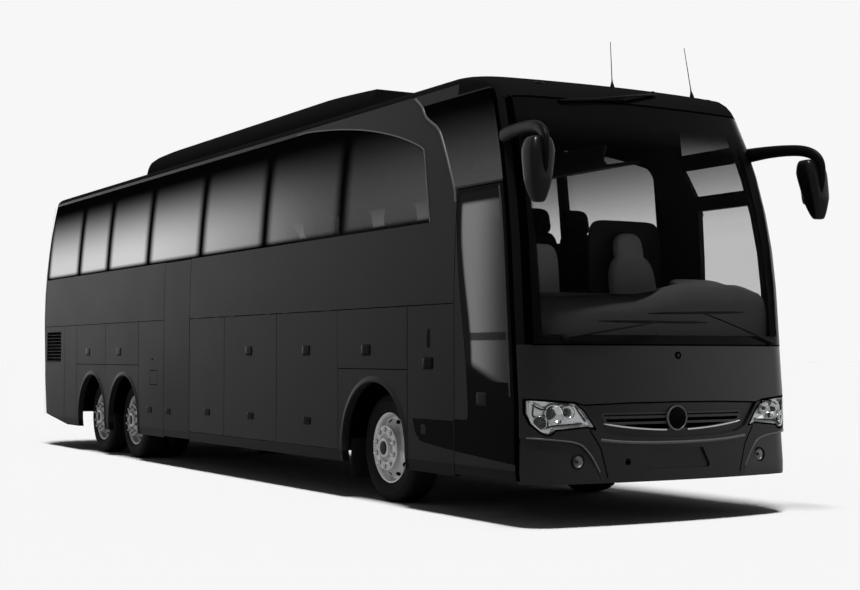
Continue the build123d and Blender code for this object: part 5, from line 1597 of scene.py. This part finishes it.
@dataclass
class RoofFittings:
    """Aerials, marker lamps on the front cap, and the fan openings of the roof unit."""

    aerials: tuple[tuple[float, float, float, float, float], ...] = (
        (5.485, -0.080, 3.377, 3.742, -0.017), (5.485, 0.736, 3.366, 3.772, -0.081))
    marker: tuple[float, float] = (0.835, 3.333)
    fans: tuple[Point, ...] = (
        (-2.18, 3.7330, 5.58), (-0.95, 3.7879, 0.92), (0.75, 3.7750, -1.51), (2.40, 3.7032, -3.83))
    rim: Knots = (
        (0.30, -0.006), (0.30, 0.004), (0.285, 0.008), (0.27, 0.004), (0.27, -0.006))
    wires: tuple[float, ...] = (0.06, 0.10, 0.14, 0.18, 0.22, 0.25)

    def build(self) -> None:
        """Makes the fittings."""
        rods = []
        for x, y, low, high, lean in self.aerials:
            t = np.linspace(0, 1, 30)
            path = np.stack([np.full(30, x), y + lean * t, low + (high - low) * t], -1)
            foot = 0.7 + 2.4 * np.exp(-(t / 0.10) ** 2) - 0.25 * t
            rods.append(Shape.swept(path, Shape.ring(0.006, 0.006, 10), AHEAD, foot))
        Maker.piece("aerials", rods, SATIN_BLACK)
        for side in Side:
            y, z = self.marker
            at = FORM.nose(np.array(side.value * y), np.array(z))
            lens = Shape.pad((0.014, 0.05, 0.016), 0.8, 12, at, 28.0)
            Maker.piece(f"marker_{side.word}", lens, SATIN_BLACK)
        self.fan_rings()

    def fan_rings(self) -> None:
        """Fan openings in the roof unit, each at x and z with its lean: rim, rings of wire and dark well."""
        rims, wires, wells = [], [], []
        for x, z, lean in self.fans:
            at = (x, 0.0, z)
            rims.append(Shape.turned(self.rim, 48).to_top().leaned(lean).moved(at))
            wells.append(Shape.turned([(0.272, 0.001), (0.0, 0.001)], 48).to_top().leaned(lean).moved(at))
            for radius in self.wires:
                wire = Shape.ring(0.003, 0.003, 6) + (radius, 0.004)
                loop = np.concatenate([wire, wire[:1]])
                wires.append(Shape.turned(loop, 40).to_top().leaned(lean).moved(at))
        Maker.piece("fan_rims", rims, SATIN_BLACK, closed=False)
        Maker.piece("fan_wells", wells, SEAM_AND_SHADE_BLACK, closed=False)
        Maker.piece("fan_wires", wires, DARK_METAL)


@dataclass
class Rear:
    """Tail: lamps, the lid's handle, the dark mesh behind its louvres and the end of the towing socket."""

    handle: tuple[float, float] = (-6.289, 0.716)
    handle_half: tuple[float, float] = (0.10, 0.026)
    lean: float = 0.152
    mesh_line: Knots = (
        (0.735, -6.2330), (0.793, -6.2418), (1.030, -6.2673), (1.050, -6.2689))
    mesh_half: float = 0.67
    socket: Point = (-6.2064, -0.520, 0.560)
    socket_half: float = 0.045
    skin: float = 0.0015

    def build(self) -> None:
        """Dresses the lamps and adds handle, mesh and socket end."""
        Maker.dress(["tail_lamps"], TAIL_LENS)
        flat = Shape.plate(self.handle_half, 0.012)
        p = flat.points
        x, z = self.handle
        handle = Patch(np.stack([x - p[:, 2] - self.lean * p[:, 1], p[:, 0], z + p[:, 1]], -1), flat.quads)
        Maker.piece("lid_handle", handle, GLOSS_BLACK, "engine_lid")
        Maker.piece("lid_mesh", self.mesh(), SEAM_AND_SHADE_BLACK, "engine_lid", closed=False)
        Maker.piece("socket_end", self.socket_end(), SEAM_AND_SHADE_BLACK, closed=False)

    def mesh(self) -> Patch:
        """Sheet on the lid's inner face: P(y, z) = (line(z), y, z)."""
        levels, places = np.asarray(self.mesh_line).T
        z = np.linspace(levels[0], levels[-1], 24)[:, None]
        y = np.linspace(-self.mesh_half, self.mesh_half, 30)[None]
        y, z = np.broadcast_arrays(y, z)
        surface = np.stack([np.interp(z, levels, places) + self.skin, y, z], -1)
        return Patch.grid(surface).faced(BEHIND)

    def socket_end(self) -> Patch:
        """Sheet on the wall's inner face, behind the towing socket's bore: P(y, z) = (x - lean dz, y, z)."""
        x, y, z = self.socket
        step = np.linspace(-self.socket_half, self.socket_half, 6)
        across, up = np.meshgrid(step, step, indexing="ij")
        surface = np.stack([x + self.skin - self.lean * up, y + across, z + up], -1)
        return Patch.grid(surface).faced(BEHIND)


@dataclass
class Seats:
    """Passenger pairs, the driver's seat and the folding seat beside it, as stuffed pads on frames."""

    rows: int = 12
    first_x: float = 4.150
    pitch: float = 0.830
    deck: float = 1.230
    places: tuple[float, float] = (0.49, 0.93)
    stair: tuple[float, float] = (-1.396, -0.594)
    row_back: float = 0.66
    row_front: float = 0.04
    sewn: tuple[float, float] = (-0.42, 0.42)
    recline: float = 14.0
    driver_recline: float = 9.0
    driver: Point = (5.210, 0.715, 0.830)
    guide: Point = (4.840, -0.330, 0.830)

    def row_places(self, side: Side) -> list[float]:
        """Row lines of one side; the right side leaves the middle stairs free."""
        lines = [self.first_x - self.pitch * r for r in range(self.rows)]
        if side is Side.LEFT:
            return lines
        return [x for x in lines if x - self.row_back > self.stair[1] or x + self.row_front < self.stair[0]]

    def pads(self) -> Patch:
        """Pads of one passenger place: cushion, leaned back and head pad, round its reference point."""
        return Patch.join([
            Shape.pad((0.215, 0.205, 0.075), 0.45, 12, (-0.18, 0, 0.375), 0.0, self.sewn),
            Shape.pad((0.055, 0.205, 0.37), 0.45, 12, (-0.475, 0, 0.80), self.recline, self.sewn),
            Shape.pad((0.048, 0.155, 0.12), 0.55, 10, (-0.585, 0, 1.26), self.recline)])

    def frame(self) -> Patch:
        """Frame of one pair: pedestal, back shells and arm rests, round the reference point of the row."""
        parts = [Shape.pad((0.13, 0.035, 0.165), 0.2, 8, (-0.2, y, 0.15)) for y in (0.50, 0.92)]
        parts += [Shape.pad((0.022, 0.2, 0.33), 0.3, 8, (-0.52, y, 0.76), 15.0) for y in self.places]
        parts += [Shape.pad((0.16, 0.02, 0.02), 0.6, 8, (-0.26, y, 0.60)) for y in (0.285, 0.71)]
        return Patch.join(parts)

    def build(self) -> None:
        """Makes all seats."""
        pads, frame_patch = self.pads(), self.frame()
        for side in Side:
            lines = self.row_places(side)
            stuffed = [pads.moved((x, side.value * y, self.deck)) for x in lines for y in self.places]
            made = Maker.piece(f"seat_pads_{side.word}", stuffed, SEAT_CLOTH, replaces=["seats"],
                               slot="seat_fabric", sharp=80.0)
            turned = frame_patch if side is Side.LEFT else frame_patch.mirrored()
            frames = [turned.moved((x, 0, self.deck)) for x in lines]
            Maker.piece(f"seat_frames_{side.word}", frames, TRIM_GREY, replaces=["seats"])
        self.driver_seat()

    def driver_seat(self) -> None:
        """Driver's seat and the guide's seat: deep pads with side rolls, head rests and boxed bases."""
        lean = self.driver_recline
        pads = Patch.join([
            Shape.pad((0.235, 0.245, 0.085), 0.5, 16, (-0.2, 0, 0.545), 0.0, (-0.55, 0.55), 0.02),
            Shape.pad((0.075, 0.25, 0.36), 0.66, 18, (-0.49, 0, 0.94), lean, (-0.5, 0.5), 0.02),
            Shape.pad((0.065, 0.15, 0.19), 0.66, 14, (-0.555, 0, 1.29), lean)])
        guide = Patch.join([
            Shape.pad((0.19, 0.18, 0.06), 0.5, 14, (0.2, 0, 0.62), 0.0, (0.0,)),
            Shape.pad((0.05, 0.18, 0.36), 0.5, 14, (0.0, 0, 0.98), 4.0, (0.0,))])
        places = (("driver", pads.moved(self.driver)), ("guide", guide.moved(self.guide)))
        for word, patch in places:
            made = Maker.piece(f"{word}_pads", patch, PALE_CLOTH, replaces=["seats"], slot="seat_fabric",
                               sharp=80.0)
        base = Patch.join([
            Shape.pad((0.17, 0.17, 0.24), 0.2, 10, (-0.2, 0, 0.23)),
            Shape.pad((0.17, 0.03, 0.025), 0.6, 8, (-0.3, -0.275, 0.72))])
        box = Shape.pad((0.12, 0.12, 0.30), 0.2, 10, (0.16, 0, 0.29))
        bases = [base.moved(self.driver), box.moved(self.guide)]
        Maker.piece("seat_bases", bases, TRIM_GREY, replaces=["seats"])


@dataclass
class Cockpit:
    """Dashboard, instrument hood, column and wheel, with the cabin's floors and racks."""

    reach: float = 1.17
    gap: float = 0.13
    top: float = 1.715
    hood: float = 0.105
    rear_x: float = 5.86
    driver_reach: float = 0.29
    low_z: float = 1.13
    driver_drop: float = 0.25
    column_way: Point = (0.5, 0.0, -0.866)
    panel: Point = (4.52, 0.79, 1.83)
    panel_half: tuple[float, float] = (0.39, 0.60)
    wheel: Point = (5.440, 0.640, 1.560)

    def build(self) -> None:
        """Makes the dashboard and dresses the cabin."""
        Maker.dress(["racks", "stairs"], TRIM_GREY)
        Maker.dress(["floor_deck"], FLOOR_GREY)
        Maker.dress(["steering_wheel"], SATIN_BLACK)
        Maker.piece("dash", self.dash(), TRIM_GREY, replaces=["dashboard"], slot="black_trim", sharp=60.0)
        hood = Shape.pad((0.12, 0.26, 0.05), 0.5, 14, (5.66, 0.64, 1.80), -14.0)
        Maker.piece("instrument_hood", hood, TRIM_GREY, sharp=60.0)
        Maker.piece("driver_partition", self.partition(), TRIM_GREY)
        t = np.linspace(0.02, 0.5, 10)[:, None]
        column = np.asarray(self.wheel) + t * np.asarray(self.column_way)
        tube = Shape.swept(column, Shape.ring(0.045, 0.045, 16), (0, 1, 0))
        Maker.piece("steering_column", tube, SATIN_BLACK)

    def dash(self) -> Patch:
        """Dashboard: a closed section that grows taller and deeper toward the driver, P(y, s)."""
        y = np.linspace(-self.reach, self.reach, 70)
        deep = Shape.ease(y, -0.25, 0.65)
        top = self.top + self.hood * Shape.ease(y, -0.35, 0.45) - 0.06 * Shape.ease(y, 0.85, 1.2)
        rear = self.rear_x - self.driver_reach * deep
        low = self.low_z - self.driver_drop * deep
        front = FORM.nose(y, top)[:, 0] - self.gap
        x = np.stack([front, front + 0.03, front - 0.01, front - 0.07, rear + 0.12, rear + 0.03, rear,
                      rear + 0.01, rear + 0.06, rear + 0.10], 1)
        z = np.stack([low, top - 0.16, top - 0.05, top - 0.005, top, top - 0.01, top - 0.05,
                      top - 0.14, low + 0.06, low], 1)
        wide = np.broadcast_to(y[:, None], x.shape)
        surface = np.stack([x, wide, z], -1)
        ends = [np.repeat(surface[k:k + 1].mean(1, keepdims=True), x.shape[1], 1) for k in (0, -1)]
        return Patch.grid(np.concatenate([ends[0], surface, ends[1]]), wrap_v=True)

    def partition(self) -> Patch:
        """Panel behind the driver: a thin rounded board that stands on the deck's edge."""
        flat = Shape.plate(self.panel_half, 0.03, 0.25, 48)
        p = flat.points
        x, y, z = self.panel
        return Patch(np.stack([x + p[:, 2], y + p[:, 0], z + p[:, 1]], -1), flat.quads)


@dataclass
class Underside:
    """Axles, knuckles, subframes, engine, luggage bay, and rubber flaps behind the front wheels, dark sheets
    put there as painted shade under the body.
    """

    flap: Point = (3.129, 0.985, 0.355)
    flap_half: tuple[float, float] = (0.20, 0.19)
    metal: tuple[str, ...] = (
        "subframes", "front_axle", "drive_axle", "tag_axle", "knuckle_left", "knuckle_right", "engine")

    def build(self) -> None:
        """Dresses the running gear."""
        Maker.dress(self.metal, DARK_METAL)
        Maker.dress(["luggage_bay"], FLOOR_GREY)
        # Painted shade: dark flaps block the pale floor seen under the body behind the front wheels.
        flat = Shape.plate(self.flap_half, 0.012, 0.2, 32)
        p = flat.points
        x, y, z = self.flap
        shade_flap_patches = []
        for side in Side:
            points = np.stack([x + p[:, 2], side.value * y + p[:, 0], z + p[:, 1]], -1)
            shade_flap_patches.append(Patch(points, flat.quads))
        Maker.piece("mud_flaps", shade_flap_patches, TYRE_RUBBER)


@dataclass(frozen=True)
class Studio:
    """Floor, light and camera.

    Rays that look at the stage see white; rays that light the coach find it darker.
    """

    eye: Point = (14.990, -7.293, 1.248)
    yaw: float = 1.0433219
    pitch: float = 0.0405899
    lens: float = 62.81
    white: float = 0.93
    ambient: float = 0.06
    shell: float = 0.25
    box: float = 1.0
    floor_shade: float = 0.40

    def build(self) -> None:
        """Sets the stage."""
        scene = bpy.context.scene
        scene.view_settings.view_transform = "Standard"
        scene.world = bpy.data.worlds.new("studio")
        scene.world.use_nodes = True
        scene.world.node_tree.nodes.clear()
        tree = scene.world.node_tree
        self.by_ray(tree, "ShaderNodeBackground", "ShaderNodeOutputWorld", self.room(tree),
                    ("Is Camera Ray", "Is Transmission Ray"))
        self.floor()
        self.sun("over", (-0.20, 0.12, -1.0), 3.02, 12.0)
        self.camera()

    def room(self, tree: bpy.types.NodeTree) -> Val:
        """Tone of the room by direction: a dim shell; gloss also shows soft boxes at left and rear."""
        way = Val(tree, 0.0).node("ShaderNodeTexCoord", out=0)
        split = tree.nodes.new("ShaderNodeSeparateXYZ")
        way.feed(split.inputs[0], way)
        x, y, z = (Val(tree, split.outputs[k]) for k in range(3))
        low = 1.0 - z.step(0.25, 0.75)
        left = y.step(0.30, 0.90)
        rear = (1.0 - x.step(-0.98, -0.60)) * 0.5 + (1.0 - x.step(-1.00, -0.90)) * 0.9
        path = tree.nodes.new("ShaderNodeLightPath")
        shown = Val(tree, path.outputs["Is Glossy Ray"])
        return ((left | rear) * low * self.box + self.shell) * shown + self.ambient

    def by_ray(self, tree: bpy.types.NodeTree, kind: str, end: str, shade: Number,
               flags: Sequence[str]) -> None:
        """White shader for rays of the named kinds and a shaded one for all others.

        Args:
            tree: node tree to fill.
            kind: shader node with a Color input.
            end: output node.
            shade: tone for the other rays.
            flags: outputs of the light path node.
        """
        path = tree.nodes.new("ShaderNodeLightPath")
        mask = Val(tree, path.outputs[flags[0]])
        for flag in flags[1:]:
            mask = mask | Val(tree, path.outputs[flag])
        blend = tree.nodes.new("ShaderNodeMixShader")
        mask.feed(blend.inputs[0], mask)
        for place, tone in ((1, shade), (2, self.white)):
            shader = tree.nodes.new(kind)
            mask.feed(shader.inputs["Color"], tone if isinstance(tone, Val) else (tone, tone, tone, 1.0))
            tree.links.new(shader.outputs[0], blend.inputs[place])
        last = tree.nodes.new(end)
        tree.links.new(blend.outputs[0], last.inputs[0])

    def floor(self) -> None:
        """Plain pale floor."""
        t = np.linspace(-220.0, 220.0, 3)
        patch = Patch.grid(np.stack([*np.meshgrid(t, t, indexing="ij"), np.zeros((3, 3))], -1))
        mesh = bpy.data.meshes.new("floor")
        mesh.from_pydata(patch.points.tolist(), [], patch.quads.tolist())
        cover = bpy.data.materials.new("floor")
        cover.use_nodes = True
        cover.node_tree.nodes.clear()
        self.by_ray(cover.node_tree, "ShaderNodeBsdfDiffuse", "ShaderNodeOutputMaterial", self.floor_shade,
                    ("Is Camera Ray",))
        mesh.materials.append(cover)
        made = bpy.data.objects.new("floor", mesh)
        bpy.context.scene.collection.objects.link(made)

    def sun(self, name: str, travel: Sequence[float], strength: float, angle: float) -> None:
        """Soft parallel light, by the way it travels."""
        lamp = bpy.data.lights.new(name, "SUN")
        lamp.energy = strength
        lamp.angle = math.radians(angle)
        self.aimed(name, lamp, (0.0, 0.0, 20.0), Vector(travel))

    def aimed(self, name: str, data: bpy.types.ID, place: Sequence[float], look: Vector) -> bpy.types.Object:
        """Object of a lamp or camera that looks one way."""
        made = bpy.data.objects.new(name, data)
        made.location = place
        made.rotation_mode = "QUATERNION"
        made.rotation_quaternion = look.to_track_quat("-Z", "Y")
        bpy.context.scene.collection.objects.link(made)
        return made

    def camera(self) -> None:
        """Camera at the photo's place."""
        data = bpy.data.cameras.new("camera")
        data.lens = self.lens
        data.clip_end = 800.0
        flat = math.cos(self.pitch)
        look = Vector((-math.sin(self.yaw) * flat, math.cos(self.yaw) * flat, math.sin(self.pitch)))
        bpy.context.scene.camera = self.aimed("camera", data, self.eye, look)


def main() -> None:
    logging.basicConfig(level=logging.INFO)
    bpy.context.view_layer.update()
    parts = [Shell(), Glazing(), FrontDoor(), Nose(), Headlamps(), Grille(), Mirrors(), Wipers(),
             RoofFittings(), Rear(), Seats(), Cockpit(), Underside()]
    parts += [Wheel(axle, side) for axle in Axle for side in Side]
    for part in parts:
        log.info("building %s", type(part).__name__)
        part.build()
    Studio().build()
    log.info("size file written")


if __name__ == "__main__":
    main()
